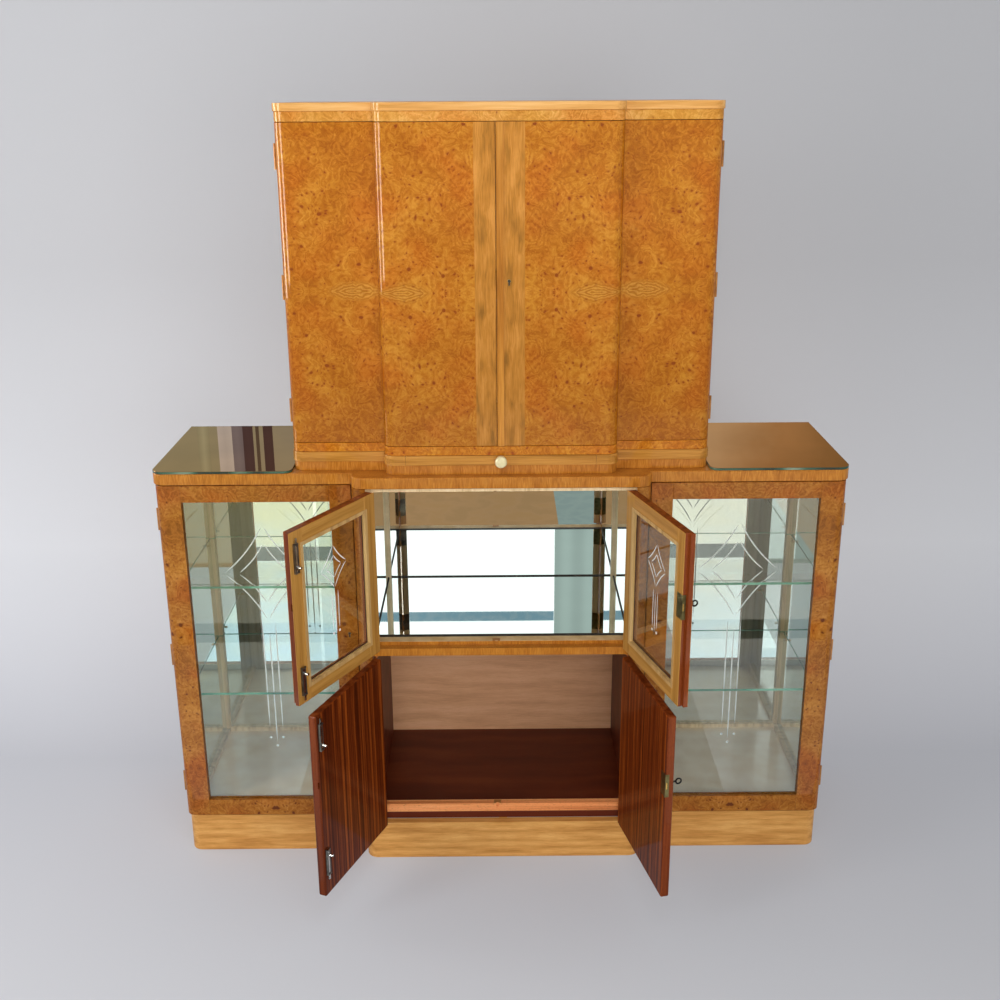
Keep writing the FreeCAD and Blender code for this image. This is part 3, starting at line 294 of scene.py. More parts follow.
# blonde veneer and maple: close-grained, so calmer than ash
blonde = {**ash, "light": "#E3A652", "middle": "#D69640", "deep": "#C0802E", "band": 12.0,
          "bandLength": 400.0, "fibreLength": 60.0, "waveReach": 6.0, "poreShare": 0.08}
maple = {**blonde, "light": "#C9964C", "middle": "#B98640", "deep": "#A47232", "along": 2}
# maple painted far paler: painted light on the hinge edges and the posts' inner faces, which stand
# in shade
brightenedMaple = {**maple, "light": "#F0DEBC", "middle": "#E4CEA8", "deep": "#D0B68C"}
# stained veneer painted paler than it is: painted light on the display doors' shaded inner faces
paleStainedAndLit = {**blonde, "light": "#F8F4E8", "middle": "#ECE6D4", "deep": "#D8CEB8", "along": 2}
# sapele cut on the quarter: narrow dark ribbons; its lipping is plainer and redder
sapele = {"light": "#9E4E18", "middle": "#682A0B", "deep": "#3C1203", "poreColour": "#220800",
          "along": 2, "band": 8.0, "bandLength": 900.0, "fibre": 1.4, "fibreLength": 50.0,
          "pore": 0.6, "poreLength": 7.0, "poreShare": 0.4, "fibreShare": 0.25,
          "waveLength": 300.0, "waveReach": 8.0}
lipping = {**sapele, "light": "#8A421C", "middle": "#70300F", "deep": "#521E06", "band": 14.0}
# birch plywood: broad, faint and a little pink
plywood = {**ash, "light": "#E2B088", "middle": "#D8A47A", "deep": "#C8966C",
           "poreColour": "#A07250", "band": 24.0, "bandLength": 260.0, "waveReach": 14.0,
           "poreShare": 0.15, "fibreShare": 0.35}
# short grain across an edge, and the mottled strips beside the upper doors' meeting line
crossBand = {**blonde, "light": "#C88634", "middle": "#B67226", "deep": "#9C5C1A", "along": 2,
             "band": 34.0, "bandLength": 60.0, "fibre": 2.6, "fibreLength": 30.0,
             "fibreShare": 0.65, "poreShare": 0.2, "waveLength": 40.0, "waveReach": 9.0}
meetingBand = {**blonde, "light": "#D69342", "middle": "#BE7D2C", "deep": "#946220", "along": 2,
               "band": 22.0, "bandLength": 70.0, "fibreShare": 0.4, "waveLength": 60.0,
               "waveReach": 10.0, "poreShare": 0.3}


def bookMatch(add, place, lineX=None, lineZ=None):
    # leaves of veneer opened like a book about the middle and, if given, about lineX and lineZ
    apart = add("SeparateXYZ", {0: place}, out=None)
    across, height = add("Math", {0: apart.outputs[0]}, operation="ABSOLUTE"), apart.outputs[2]
    if lineX:
        across = add("Math", {0: across, 1: lineX}, operation="SUBTRACT")
        across = add("Math", {0: across}, operation="ABSOLUTE")
    if lineZ:
        height = add("Math", {0: height, 1: lineZ}, operation="SUBTRACT")
        height = add("Math", {0: height}, operation="ABSOLUTE")
    matched = add("CombineXYZ", {0: across, 1: apart.outputs[1], 2: height})
    return apart, across, height, matched


def burlVeneer(name, look, lineX):
    # burl all over, book-matched about lineX unless that is None
    material, add = newMaterial(name)
    place = objectPlace(add)
    if lineX:
        place = bookMatch(add, place, lineX)[3]
    colour, figure = burlFigure(add, place, look)
    lacquer(add, colour, figure, polish)
    return material


# in millimetres, where the low case's leaves of veneer meet and past which depth its doors are
# lined
caseFigure = {"bookLine": 570.0, "liningFrom": -179.0}


def displayDoorVeneer():
    # burl in front, and behind it the stained veneer of the inside, painted paler as painted light
    # on its shade
    material, add = newMaterial("burlWalnutDoors")
    apart, _, _, matched = bookMatch(add, objectPlace(add), caseFigure["bookLine"])
    colour, figure = burlFigure(add, matched, caseworkBurl)
    inner = grainFigure(add, matched, paleStainedAndLit)[0]
    rear = add("Math", {0: apart.outputs[1], 1: caseFigure["liningFrom"]},
               operation="GREATER_THAN")
    colour = add("MixRGB", {"Fac": rear, "Color1": colour, "Color2": inner})
    lacquer(add, colour, figure, polish)
    return material


# the posts' inner face and the level where the bar's lining starts, in millimetres
postInner = {"face": 306.8, "level": 566.0}


def postVeneer():
    # burl outside; the faces towards the bar are maple painted pale as painted light on their
    # shade, and below it sapele
    material, add = newMaterial("burlWalnutPosts")
    place = objectPlace(add)
    apart = add("SeparateXYZ", {0: place}, out=None)
    colour, figure = burlFigure(add, place, caseworkBurl)
    across = add("Math", {0: apart.outputs[0]}, operation="ABSOLUTE")
    inner = add("Math", {0: across, 1: postInner["face"]}, operation="LESS_THAN")
    high = add("Math", {0: apart.outputs[2], 1: postInner["level"]}, operation="GREATER_THAN")
    pale = grainFigure(add, place, brightenedMaple)[0]
    dark = grainFigure(add, place, lipping)[0]
    lining = add("MixRGB", {"Fac": high, "Color1": dark, "Color2": pale})
    colour = add("MixRGB", {"Fac": inner, "Color1": colour, "Color2": lining})
    lacquer(add, colour, figure, polish)
    return material


# the upper doors, in millimetres: where leaves and bands meet, the lens curls and the painted shade
upperFigure = {
    "stepLine": 264.0, "bookLine": 1408.0, "lensPlace": 54.0, "lensLength": 54.0,
    "lensHeight": 17.0, "lensRings": 2.6, "lensShare": 0.65, "lensEdge": (0.7, 1.5),
    "lensLight": "#D89C40", "lensDeep": "#A4620F", "wobble": 14.0, "wobbleReach": 0.42,
    "wobbleOctaves": 2.5, "bandOuter": 54.0, "shadeFoot": 1120.0, "shadeHead": 1640.0,
    "shadeTone": 0.82,
}


def upperDoorVeneer():
    look = upperFigure
    material, add = newMaterial("burlWalnutPolishedMatched")
    place = objectPlace(add)
    apart, across, height, matched = bookMatch(add, place, look["stepLine"], look["bookLine"])
    colour, figure = burlFigure(add, matched)
    # nested lens curls where the leaves meet, in rings about a point beside the step line:
    # ring = side squared + up, so that each is pointed at its ends
    wobble = add("TexNoise", {"Vector": matched, "Scale": 1 / look["wobble"],
                              "Detail": look["wobbleOctaves"]})
    wobble = add("MapRange", {"Value": wobble, "To Min": -look["wobbleReach"],
                              "To Max": look["wobbleReach"]})
    side = add("Math", {0: across, 1: look["lensPlace"]}, operation="SUBTRACT")
    side = add("Math", {0: side, 1: look["lensLength"]}, operation="DIVIDE")
    side = add("Math", {0: side, 1: side}, operation="MULTIPLY")
    up = add("Math", {0: height, 1: look["lensHeight"]}, operation="DIVIDE")
    rings = add("Math", {0: side, 1: up}, operation="ADD")
    rings = add("Math", {0: rings, 1: wobble}, operation="ADD")
    wave = add("Math", {0: rings, 1: look["lensRings"] * math.tau}, operation="MULTIPLY")
    wave = add("MapRange", {"Value": add("Math", {0: wave}, operation="SINE"), "From Min": -1.0})
    inside, outside = look["lensEdge"]
    near = add("MapRange", {"Value": rings, "From Min": inside, "From Max": outside,
                            "To Min": look["lensShare"], "To Max": 0.0})
    lens = add("MixRGB", {"Fac": wave, "Color1": linear(look["lensDeep"]),
                          "Color2": linear(look["lensLight"])})
    colour = add("MixRGB", {"Fac": near, "Color1": colour, "Color2": lens})
    # straight-grained bands beside the meeting line
    band = grainFigure(add, place, meetingBand)[0]
    away = add("Math", {0: apart.outputs[0]}, operation="ABSOLUTE")
    inBand = add("Math", {0: away, 1: look["bandOuter"]}, operation="LESS_THAN")
    colour = add("MixRGB", {"Fac": inBand, "Color1": colour, "Color2": band})
    # painted shade: the colour darkens towards the foot of the doors, as if light fell more on
    # their top
    paintedShade = add("MapRange", {"Value": apart.outputs[2], "From Min": look["shadeFoot"],
                             "From Max": look["shadeHead"], "To Min": look["shadeTone"]})
    colour = add("MixRGB", {"Fac": 1.0, "Color1": colour, "Color2": paintedShade}, blend_type="MULTIPLY")
    lacquer(add, colour, figure, polish)
    return material


def grained(name, look, finish, matched=False):
    # one straight-grained wood all over, mirrored about the middle where it is matched
    material, add = newMaterial(name)
    place = objectPlace(add)
    if matched:
        place = bookMatch(add, place)[3]
    colour, height = grainFigure(add, place, look)
    lacquer(add, colour, height, finish)
    return material


# a centre leaf in millimetres: outer face, thickness, skin of veneer, edge at the hinges and the
# sight between the stiles
leafForm = {"face": 2.8, "thick": 20.0, "skin": 1.2, "hingeEdge": 6.0, "sight": (41.2, 264.8)}


def leafVeneer(name, jointName, inner, finish, framed):
    # burl on the outer face, the inner veneer on the other, and sapele lipping on the edges
    _, hinge, turned = leafFrame(jointName)
    material, add = newMaterial(name)
    place = objectPlace(add, turned, hinge * Vector((1, 1, 0)))
    apart = add("SeparateXYZ", {0: place}, out=None)
    outside = burlFigure(add, place, caseworkBurl)[0]
    inside = grainFigure(add, place, inner)[0]
    edge, height = grainFigure(add, place, lipping)
    if framed:
        # the rails between the stiles run the other way, and the edge at the hinges is maple
        # painted pale, painted light on its shade
        rails = grainFigure(add, place, {**inner, "along": 0})[0]
        across = add("Math", {0: apart.outputs[0]}, operation="ABSOLUTE")
        past = add("Math", {0: across, 1: leafForm["sight"][0]}, operation="GREATER_THAN")
        before = add("Math", {0: across, 1: leafForm["sight"][1]}, operation="LESS_THAN")
        amid = add("Math", {0: past, 1: before}, operation="MULTIPLY")
        inside = add("MixRGB", {"Fac": amid, "Color1": inside, "Color2": rails})
        atHinge = add("Math", {0: across, 1: leafForm["hingeEdge"]}, operation="LESS_THAN")
        pale = grainFigure(add, place, brightenedMaple)[0]
        edge = add("MixRGB", {"Fac": atHinge, "Color1": edge, "Color2": pale})
    rear = leafForm["face"] + leafForm["thick"] - leafForm["skin"]
    back = add("Math", {0: apart.outputs[1], 1: rear}, operation="GREATER_THAN")
    front = add("Math", {0: apart.outputs[1], 1: leafForm["face"] + leafForm["skin"]},
                operation="LESS_THAN")
    colour = add("MixRGB", {"Fac": back, "Color1": edge, "Color2": inside})
    colour = add("MixRGB", {"Fac": front, "Color1": colour, "Color2": outside})
    lacquer(add, colour, height, finish)
    return material


# glass, mirror and metal

# tints and their places on ramps; streak and cloud are millimetres
glass = {
    "pane": "#FAFDFB", "shelf": "#F6FAF8", "ior": 1.5, "streak": 90.0, "edgeRoughness": 0.25,
    "edgeClear": 0.25, "shelfEdge": ((0.35, "#1F7A5C"), (0.5, "#3FA684"), (0.65, "#7FD0B0")),
    "counterEdge": ((0.4, "#20382C"), (0.5, "#3E6650"), (0.64, "#93A88C")), "cloud": 300.0,
    "smoked": ((0.35, "#86683E"), (0.65, "#9A7A50")), "smokedRoughness": 0.025,
    "streakOctaves": 1.0, "cloudOctaves": 3.0,
}


def floatGlass(add, tint):
    # clear and polished; lamps reach what is behind it
    solid = add("BsdfPrincipled", {"Base Color": linear(tint), "Roughness": 0.0,
                                   "IOR": glass["ior"], "Transmission Weight": 1.0})
    clear = add("BsdfTransparent", {"Color": linear(tint)})
    return add("MixShader", {0: add("LightPath", out="Is Shadow Ray"), 1: solid, 2: clear})


def cutEdges(add, stops):
    # the edges of a sheet, where the normal lies flat: deep green, as light travels far in it
    upright = add("SeparateXYZ", {0: add("TexCoord", out="Normal")}, out=2)
    upright = add("Math", {0: upright}, operation="ABSOLUTE")
    edge = add("Math", {0: upright, 1: 0.5}, operation="LESS_THAN")
    streak = add("TexNoise", {"Vector": objectPlace(add), "Scale": 1 / glass["streak"],
                              "Detail": glass["streakOctaves"]})
    green = add("ValToRGB", {0: streak}, stops=stops)
    return edge, add("BsdfPrincipled", {"Base Color": green, "Roughness": glass["edgeRoughness"],
                                        "IOR": glass["ior"],
                                        "Transmission Weight": glass["edgeClear"]})


def paneGlass(name):
    material, add = newMaterial(name)
    add("OutputMaterial", {"Surface": floatGlass(add, glass["pane"])}, out=None)
    return material


def shelfGlass(name):
    material, add = newMaterial(name)
    edge, cut = cutEdges(add, glass["shelfEdge"])
    shader = add("MixShader", {0: edge, 1: floatGlass(add, glass["shelf"]), 2: cut})
    add("OutputMaterial", {"Surface": shader}, out=None)
    return material


def counterGlass(name):
    # smoked glass silvered beneath: a dull brown mirror with green edges
    material, add = newMaterial(name)
    edge, cut = cutEdges(add, glass["counterEdge"])
    cloud = add("TexNoise", {"Vector": objectPlace(add), "Scale": 1 / glass["cloud"],
                             "Detail": glass["cloudOctaves"]})
    colour = add("ValToRGB", {0: cloud}, stops=glass["smoked"])
    face = add("BsdfPrincipled", {"Base Color": colour, "Roughness": glass["smokedRoughness"],
                                  "Metallic": 1.0})
    shader = add("MixShader", {0: edge, 1: face, 2: cut})
    add("OutputMaterial", {"Surface": shader}, out=None)
    return material


# ramps of colour and grit, how far the grit varies the roughness, and its depth in metres
worked = {"tones": (0.35, 0.65), "grit": (0.3, 0.7), "spread": 0.2, "depth": 0.0002,
          "coatRoughness": 0.1, "cloudOctaves": 3.0, "gritOctaves": 2.0}


def plainSurface(name, look):
    # a worked surface: base colour with slow variation and fine grit in its roughness
    material, add = newMaterial(name)
    place = objectPlace(add)
    cloud = add("TexNoise", {"Vector": place, "Scale": 1 / look["cloud"],
                             "Detail": worked["cloudOctaves"]})
    stops = tuple(zip(worked["tones"], (look["deep"], look["light"])))
    colour = add("ValToRGB", {0: cloud}, stops=stops)
    grit = add("TexNoise", {"Vector": place, "Scale": 1 / look["grit"],
                            "Detail": worked["gritOctaves"]})
    fine, coarse = worked["grit"]
    rough = add("MapRange", {"Value": grit, "From Min": fine, "From Max": coarse,
                             "To Min": look["roughness"] * (1 - worked["spread"]),
                             "To Max": look["roughness"] * (1 + worked["spread"])})
    bump = add("Bump", {"Height": grit, "Strength": look["bump"], "Distance": worked["depth"]})
    shader = add("BsdfPrincipled", {"Base Color": colour, "Roughness": rough, "Normal": bump,
                                    "Metallic": look.get("metallic", 0.0),
                                    "Coat Weight": look.get("coat", 0.0),
                                    "Coat Roughness": worked["coatRoughness"]})
    add("OutputMaterial", {"Surface": shader}, out=None)
    return material


metals = {
    # lacquered cast brass: warm and softly bright
    "brassLacquered": {"light": "#D6B26A", "deep": "#A8813C", "metallic": 1.0, "roughness": 0.28,
                       "cloud": 20.0, "grit": 0.6, "bump": 0.05},
    # hinges browned with age, near the veneer's own colour
    "brownedBrass": {"light": "#C88C4A", "deep": "#A87038", "metallic": 0.5, "roughness": 0.5,
                     "cloud": 12.0, "grit": 0.5, "bump": 0.08},
    # lock plates that have gone a dull olive
    "agedBrassPlate": {"light": "#7E7650", "deep": "#5C5638", "metallic": 1.0, "roughness": 0.4,
                       "cloud": 12.0, "grit": 0.5, "bump": 0.1},
    # rolled steel plates, grey and dull
    "greySteelPlate": {"light": "#85807A", "deep": "#625E5A", "metallic": 1.0, "roughness": 0.42,
                       "cloud": 12.0, "grit": 0.5, "bump": 0.1},
    # polished steel levers: small bright glints
    "brightSteel": {"light": "#E2E2DE", "deep": "#B4B4B0", "metallic": 1.0, "roughness": 0.22,
                    "cloud": 10.0, "grit": 0.5, "bump": 0.05},
    # keys of blackened iron, a little rough
    "blackIron": {"light": "#3A3632", "deep": "#201E1C", "metallic": 0.8, "roughness": 0.4,
                  "cloud": 8.0, "grit": 0.5, "bump": 0.2},
}
smooth = {
    # silvered float glass, with the faint green of the sheet
    "silveredMirror": {"light": "#E6ECEA", "deep": "#DCE3E1", "metallic": 1.0, "roughness": 0.01,
                       "cloud": 400.0, "grit": 40.0, "bump": 0.0},
    # a turned casein knob: opaque cream with a soft shine
    "creamCasein": {"light": "#E6DAAE", "deep": "#D8CB98", "roughness": 0.3, "cloud": 12.0,
                    "grit": 1.5, "bump": 0.03, "coat": 0.3},
    # stained veneer on the bays' floors, under a hard clear gloss, painted near white as painted
    # light for the light the bays lack
    "silverGreyVeneerLit": {"light": "#FFEACA", "deep": "#F4D8B0", "roughness": 0.3, "cloud": 60.0,
                         "grit": 1.2, "bump": 0.02, "coat": 1.0},
    # glass ground with a wheel: whitish and dull
    "cutGlass": {"light": "#FCFEFC", "deep": "#E4EAE8", "roughness": 0.3, "cloud": 30.0,
                 "grit": 0.8, "bump": 0.1},
    # brushed oil paint on the mirrors' corner beads
    "creamPaint": {"light": "#DCC9A0", "deep": "#CDB98E", "roughness": 0.4, "cloud": 25.0,
                   "grit": 0.8, "bump": 0.05, "coat": 0.2},
    # unpolished veneer on the rail's top
    "railVeneerCream": {"light": "#E6C896", "deep": "#D2AE78", "roughness": 0.6, "cloud": 30.0,
                        "grit": 0.8, "bump": 0.05},
    # painted shade round the panes' edges, dark brown and matt
    "brownGlazingShade": {"light": "#4A2E1C", "deep": "#382014", "roughness": 0.6, "cloud": 15.0,
                   "grit": 0.8, "bump": 0.1},
    # painted shade: the dark inside an open joint or a hole
    "seamShadow": {"light": "#3A332A", "deep": "#2A251E", "roughness": 0.6, "cloud": 15.0,
                   "grit": 0.8, "bump": 0.1},
}


def dress(material, *names):
    # gives a material to CAD nodes, in every slot that they have
    for name in names:
        slots = nodes[name].data.materials
        slots.clear()
        slots.append(material)


# straight-grained veneers and beads: figure, finish and the nodes that they cover
veneers = {
    "crossBandedVeneer": (crossBand, polish, ("counter_slab", "upper_base", "bar_rail")),
    # the cap: blonde veneer painted paler, partly a painted sheen on its top
    "capVeneerSheen": ({**blonde, "light": "#EEBA74", "middle": "#E2A65C", "deep": "#CC8E42"}, polish,
                  ("upper_cap",)),
    "blondeMaplePolished": (blonde, polish, ("upper_shelf", "bar_floor")),
    "bandVeneer": ({**blonde, "light": "#CE9244", "middle": "#B87E32", "deep": "#9A6420"}, polish,
                   ("slide_band", "slide_board")),
    "beigeBeading": ({**blonde, "light": "#FFE8BE", "middle": "#F4D8A8", "deep": "#D8BA88",
                      "along": 2}, satin, ("trim_beads",)),
    "mapleBeading": ({**maple, "light": "#D2AE74", "middle": "#C29C62", "deep": "#A98350"}, satin,
                     ("bar_beads_left", "bar_beads_right")),
    "sapeleStraightGrain": ({**sapele, "light": "#6E2E14", "middle": "#5E220E",
                             "deep": "#4E1A0A", "along": 0, "band": 60.0, "bandLength": 400.0,
                             "waveLength": 120.0, "waveReach": 30.0, "poreShare": 0.15}, satin,
                            ("case_bottom", "partitions")),
    # the sill: sapele lipping painted far lighter, painted light against the shade of the leaves
    "sapeleSillLit": ({**lipping, "light": "#FFB274", "middle": "#EE985A", "deep": "#C87640",
                    "along": 0}, polish, ("lower_trim",)),
    "birchPlywood": (plywood, satin, ("back_panels", "upper_back")),
    "astragalVeneer": ({**maple, "light": "#CC8C3A", "middle": "#B87628", "deep": "#985A18"},
                       polish, ("astragal",)),
}

surfaces = {name: plainSurface(name, look) for name, look in {**metals, **smooth}.items()}
dress(burlVeneer("burlWalnutCase", caseworkBurl, caseFigure["bookLine"]),
      "side_panel_left", "side_panel_right")
dress(displayDoorVeneer(), "display_door_left", "display_door_right")
dress(postVeneer(), "centre_posts")
dress(burlVeneer("burlWalnutPolished", burl, upperFigure["stepLine"]),
      "upper_bottom", "upper_sides")
dress(burlVeneer("burlWalnutFrieze", friezeBurl, None), "upper_frieze")
dress(upperDoorVeneer(), "upper_door_left", "upper_door_right")
dress(grained("ashVeneerPolished", ash, polish, matched=True), "plinth")
for name, (look, finish, covered) in veneers.items():
    dress(grained(name, look, finish), *covered)
for hand, plate in (("left", "greySteelPlate"), ("right", "agedBrassPlate")):
    dress(leafVeneer(f"mapleAndBurlLeaf_{hand}", f"bar_{hand}_swing", maple, polish, True),
          f"bar_door_{hand}")
    dress(leafVeneer(f"sapeleAndBurlLeaf_{hand}", f"lower_{hand}_swing", sapele, dullPolish,
                     False), f"lower_door_{hand}")
    dress(paneGlass(f"floatGlass_{hand}"), f"display_pane_{hand}", f"bar_pane_{hand}")
    dress(surfaces["brownedBrass"], f"display_hinges_{hand}", f"upper_hinges_{hand}")
    dress(surfaces[plate], f"bar_fittings_{hand}", f"lower_fittings_{hand}")
dress(shelfGlass("shelfGlassGreenEdge"), "glass_shelves")
dress(surfaces["silveredMirror"], "display_mirrors", "bar_mirrors")
dress(counterGlass("smokedGlassSilvered"), "counter_glass")
dress(surfaces["silverGreyVeneerLit"], "display_floors")
dress(surfaces["creamCasein"], "slide_knob")
dress(surfaces["brassLacquered"], "shelf_pins", "bar_lock_bolt", "lower_lock_bolt")
dress(surfaces["brownedBrass"], "fixed_fittings")
dress(surfaces["brightSteel"], "bar_top_bolt", "bar_base_bolt", "lower_top_bolt",
      "lower_base_bolt")
dress(surfaces["blackIron"], "bar_key", "lower_key")
print("materials:", len(bpy.data.materials))


# cut ornament in the panes: strokes ground into the glass with a wheel, in metres on the shut leaf

ornaments = {
    "display": {"centre": (0.232, 0.731), "depth": 0.0352, "stroke": 0.0016,
                "diamonds": ((0.097, 0.122), (0.063, 0.077)),
                "lines": ((-0.016, 0.601, 0.316), (0.0, 0.577, 0.276), (0.016, 0.601, 0.316)),
                "dots": ((-0.0155, 0.288), (0.0, 0.265), (0.0155, 0.288))},
    "bar": {"centre": (0.153, 0.843), "depth": 0.0148, "stroke": 0.0013,
            "diamonds": ((0.046, 0.05), (0.027, 0.027)),
            "lines": ((-0.011, 0.785, 0.695), (0.0, 0.779, 0.685), (0.011, 0.785, 0.695)),
            "dots": ((-0.011, 0.688), (0.011, 0.688))},
}
strokeForm = {"bow": 0.055, "rows": 25, "height": 0.0004, "gap": 0.03, "taper": 0.16,
              "point": 0.02, "swell": 0.7, "dot": 0.0032, "dotTop": 0.02, "dotRise": 1.5,
              "dotSides": 16, "dotRings": 5}


def cutStroke(start, end, width, bow, depth):
    # a low ridge along a shallow arc: two sloped sides that meet in a crest, pointed at its ends;
    # the middle line is start + share chord + 4 bow share (1 - share) times the chord's normal
    share = np.linspace(0, 1, strokeForm["rows"])
    start, end = np.array(start), np.array(end)
    chord = end - start
    aside = np.array([-chord[1], chord[0]])
    middle = start + share[:, None] * chord + (4 * bow * share * (1 - share))[:, None] * aside
    along = np.gradient(middle, axis=0)
    along /= np.linalg.norm(along, axis=1)[:, None]
    normal = np.stack([-along[:, 1], along[:, 0]], -1)
    swell = np.clip(np.minimum(share, 1 - share) / strokeForm["taper"], strokeForm["point"], 1)
    swell = swell ** strokeForm["swell"]
    half = (width * swell)[:, None]
    rise = strokeForm["height"] * swell
    rows = []
    for edge, lift in ((-1, 0), (0, 1), (1, 0)):
        flat = middle + normal * half * edge
        rows.append(np.stack([flat[:, 0], depth + rise * lift, flat[:, 1]], -1))
    return np.stack(rows, 1)


def cutDot(centre, radius, depth):
    # a shallow dome: rings whose radius goes with the cosine of a quarter turn and whose height
    # goes with its sine
    angle = np.linspace(0, math.tau, strokeForm["dotSides"], endpoint=False)
    grow = np.linspace(0, math.pi / 2, strokeForm["dotRings"])
    top, rise = strokeForm["dotTop"], strokeForm["height"] * strokeForm["dotRise"]
    ring = radius * np.cos(grow)[:, None] * (1 - top) + radius * top
    return np.stack([centre[0] + ring * np.cos(angle),
                     depth + rise * np.sin(grow)[:, None] + 0 * angle,
                     centre[1] + ring * np.sin(angle)], -1)


def cutOrnament(name, look, jointName, body):
    # two nested diamonds with bowed sides, lines below them and dots at the lines' feet
    strokes = []
    across, level = look["centre"]
    for wide, tall in look["diamonds"]:
        corners = [(0, tall), (wide, 0), (0, -tall), (-wide, 0)]
        for one, other in zip(corners, corners[1:] + corners[:1]):
            one, other = np.array(one), np.array(other)
            trim = (other - one) * strokeForm["gap"]
            strokes.append(cutStroke(one + trim + (across, level), other - trim + (across, level),
                                     look["stroke"], -strokeForm["bow"], look["depth"]))
    for aside, top, foot in look["lines"]:
        strokes.append(cutStroke((across + aside, top), (across + aside, foot), look["stroke"],
                                 0.0, look["depth"]))
    for aside, height in look["dots"]:
        strokes.append(cutDot((across + aside, height), strokeForm["dot"], look["depth"]))
    grids = [onLeaf(jointName, stroke) for stroke in strokes]
    addPiece(name, grids, surfaces["cutGlass"], body)


for hand in ("left", "right"):
    for row, look in ornaments.items():
        cutOrnament(f"{row}Ornament_{hand}", look, f"{row}_{hand}_swing", f"{row}_{hand}")
print("ornament: 4 panes")


# keyhole liners, in metres: a brass ring with a slot below, set in the veneer round a hole whose
# dark is painted shade

liner = {"radius": 0.0033, "slot": 0.0016, "reach": 0.0095, "thick": 0.0009, "proud": 0.0004,
         "deep": 0.003, "fill": 0.0001, "arcSteps": 25}
# name, body, x, depth of the face and height of each
keyholes = (("upper", "upper_right", 0.02, -0.216, 1.433),
            ("left", "display_left", -0.365, -0.2, 0.599),
            ("right", "display_right", 0.365, -0.2, 0.599))


def keyholeLiner(name, body, x, front, z):
    # the outline of the hole, an arc over a narrow slot, carried as a ring with a square section
    mouth = math.asin(liner["slot"] / liner["radius"])
    arc = np.linspace(-math.pi / 2 + mouth, 3 * math.pi / 2 - mouth, liner["arcSteps"])
    outline = np.stack([np.cos(arc), np.sin(arc)], -1) * liner["radius"]
    foot = np.array([[-liner["slot"], -liner["reach"]], [liner["slot"], -liner["reach"]]])
    outline = np.concatenate([outline, foot])
    away = outline / np.linalg.norm(outline, axis=1)[:, None]
    outer = outline + away * liner["thick"]

    def level(flat, y):
        return np.stack([x + flat[:, 0], np.full(len(flat), y), z + flat[:, 1]], -1)

    deep, proud = front + liner["deep"], front - liner["proud"]
    rings = [level(outline, deep), level(outline, proud), level(outer, proud), level(outer, deep)]
    piece = addPiece(f"keyholeLiner_{name}", [np.stack(rings + rings[:1])],
                     surfaces["brassLacquered"], body)
    # the ring closes on itself, so the two caps over the hole go
    shell = bmesh.new()
    shell.from_mesh(piece.data)
    caps = [face for face in shell.faces if len(face.verts) > 4]
    bmesh.ops.delete(shell, geom=caps, context="FACES_ONLY")
    shell.to_mesh(piece.data)
    shell.free()
    # a plug of painted shade fills the hole
    dark = np.stack([level(outline, deep), level(outline, front - liner["fill"])])
    addPiece(f"keyholeLiner_{name}_hole", [dark], surfaces["seamShadow"], body)


for keyhole in keyholes:
    keyholeLiner(*keyhole)
print("keyhole liners:", len(keyholes))


# trim of the bar, in metres: corner beads, dark joints of painted shade between the mirrors, the
# rail's top and strips of painted shade round the panes

bar = {"half": 0.302, "rear": 0.188, "front": -0.178, "floor": 0.584, "top": 0.971,
       "bead": 0.0075, "joint": 0.002, "jointHeight": 0.0026, "lift": 0.0006,
       "railFront": -0.2175, "edge": 0.014}
glazing = {"across": (0.0412, 0.2648), "height": (0.615, 0.9318), "depth": 0.0148,
           "width": 0.0032, "thick": 0.0005}


def strip(low, high):
    # a straight strip between two corners: its rectangle in plan at the foot and at the head
    (x, y, z), (farX, farY, farZ) = low, high
    plan = np.array([(x, y), (farX, y), (farX, farY), (x, farY)])
    return np.stack([np.column_stack([plan, np.full(4, level)]) for level in (z, farZ)])


def barTrim():
    # beads up the rear corners, dark joints of painted shade round the floor and a capping on the
    # rail
    half, rear, floor = bar["half"], bar["rear"], bar["floor"]
    beads = []
    for side in (-1, 1):
        near, far = sorted((side * half, side * (half - bar["bead"])))
        beads.append(strip((near, rear - bar["bead"], floor), (far, rear, bar["top"])))
    addPiece("barCornerBeads", beads, surfaces["creamPaint"], "cabinet")
    level, ridge = floor + bar["lift"], floor + bar["jointHeight"]
    # the joints' dark, and the wider strip along the mirror floor's front, are painted shade
    joints = [strip((-half, rear - bar["joint"], floor), (half, rear, ridge))]
    for side in (-1, 1):
        near, far = sorted((side * half, side * (half - bar["joint"])))
        joints.append(strip((near, bar["front"], floor), (far, rear, ridge)))
    joints.append(strip((-half, bar["front"] - bar["edge"], floor), (half, bar["front"], level)))
    addPiece("barMirrorJoints", joints, surfaces["seamShadow"], "cabinet")
    capping = strip((-half, bar["railFront"], floor), (half, bar["front"] - bar["edge"], level))
    addPiece("barRailCapping", [capping], surfaces["railVeneerCream"], "cabinet")


def glazingShadeLine(hand):
    # four strips of painted shade around the pane, on its rear face, inside the sight of the frame
    (near, far), (low, high) = glazing["across"], glazing["height"]
    wide, depth = glazing["width"], glazing["depth"]
    spans = [((near, low), (far, low + wide)), ((near, high - wide), (far, high)),
             ((near, low), (near + wide, high)), ((far - wide, low), (far, high))]
    rear = depth + glazing["thick"]
    grids = [onLeaf(f"bar_{hand}_swing", strip((a, depth, foot), (b, rear, head)))
             for (a, foot), (b, head) in spans]
    addPiece(f"barGlazingShade_{hand}", grids, surfaces["brownGlazingShade"], f"bar_{hand}")


barTrim()
for hand in ("left", "right"):
    glazingShadeLine(hand)
print("bar trim: beads, joints, capping and 2 putty lines")


# the photograph's viewpoint: its place in metres, angles in degrees, lens and sensor in millimetres

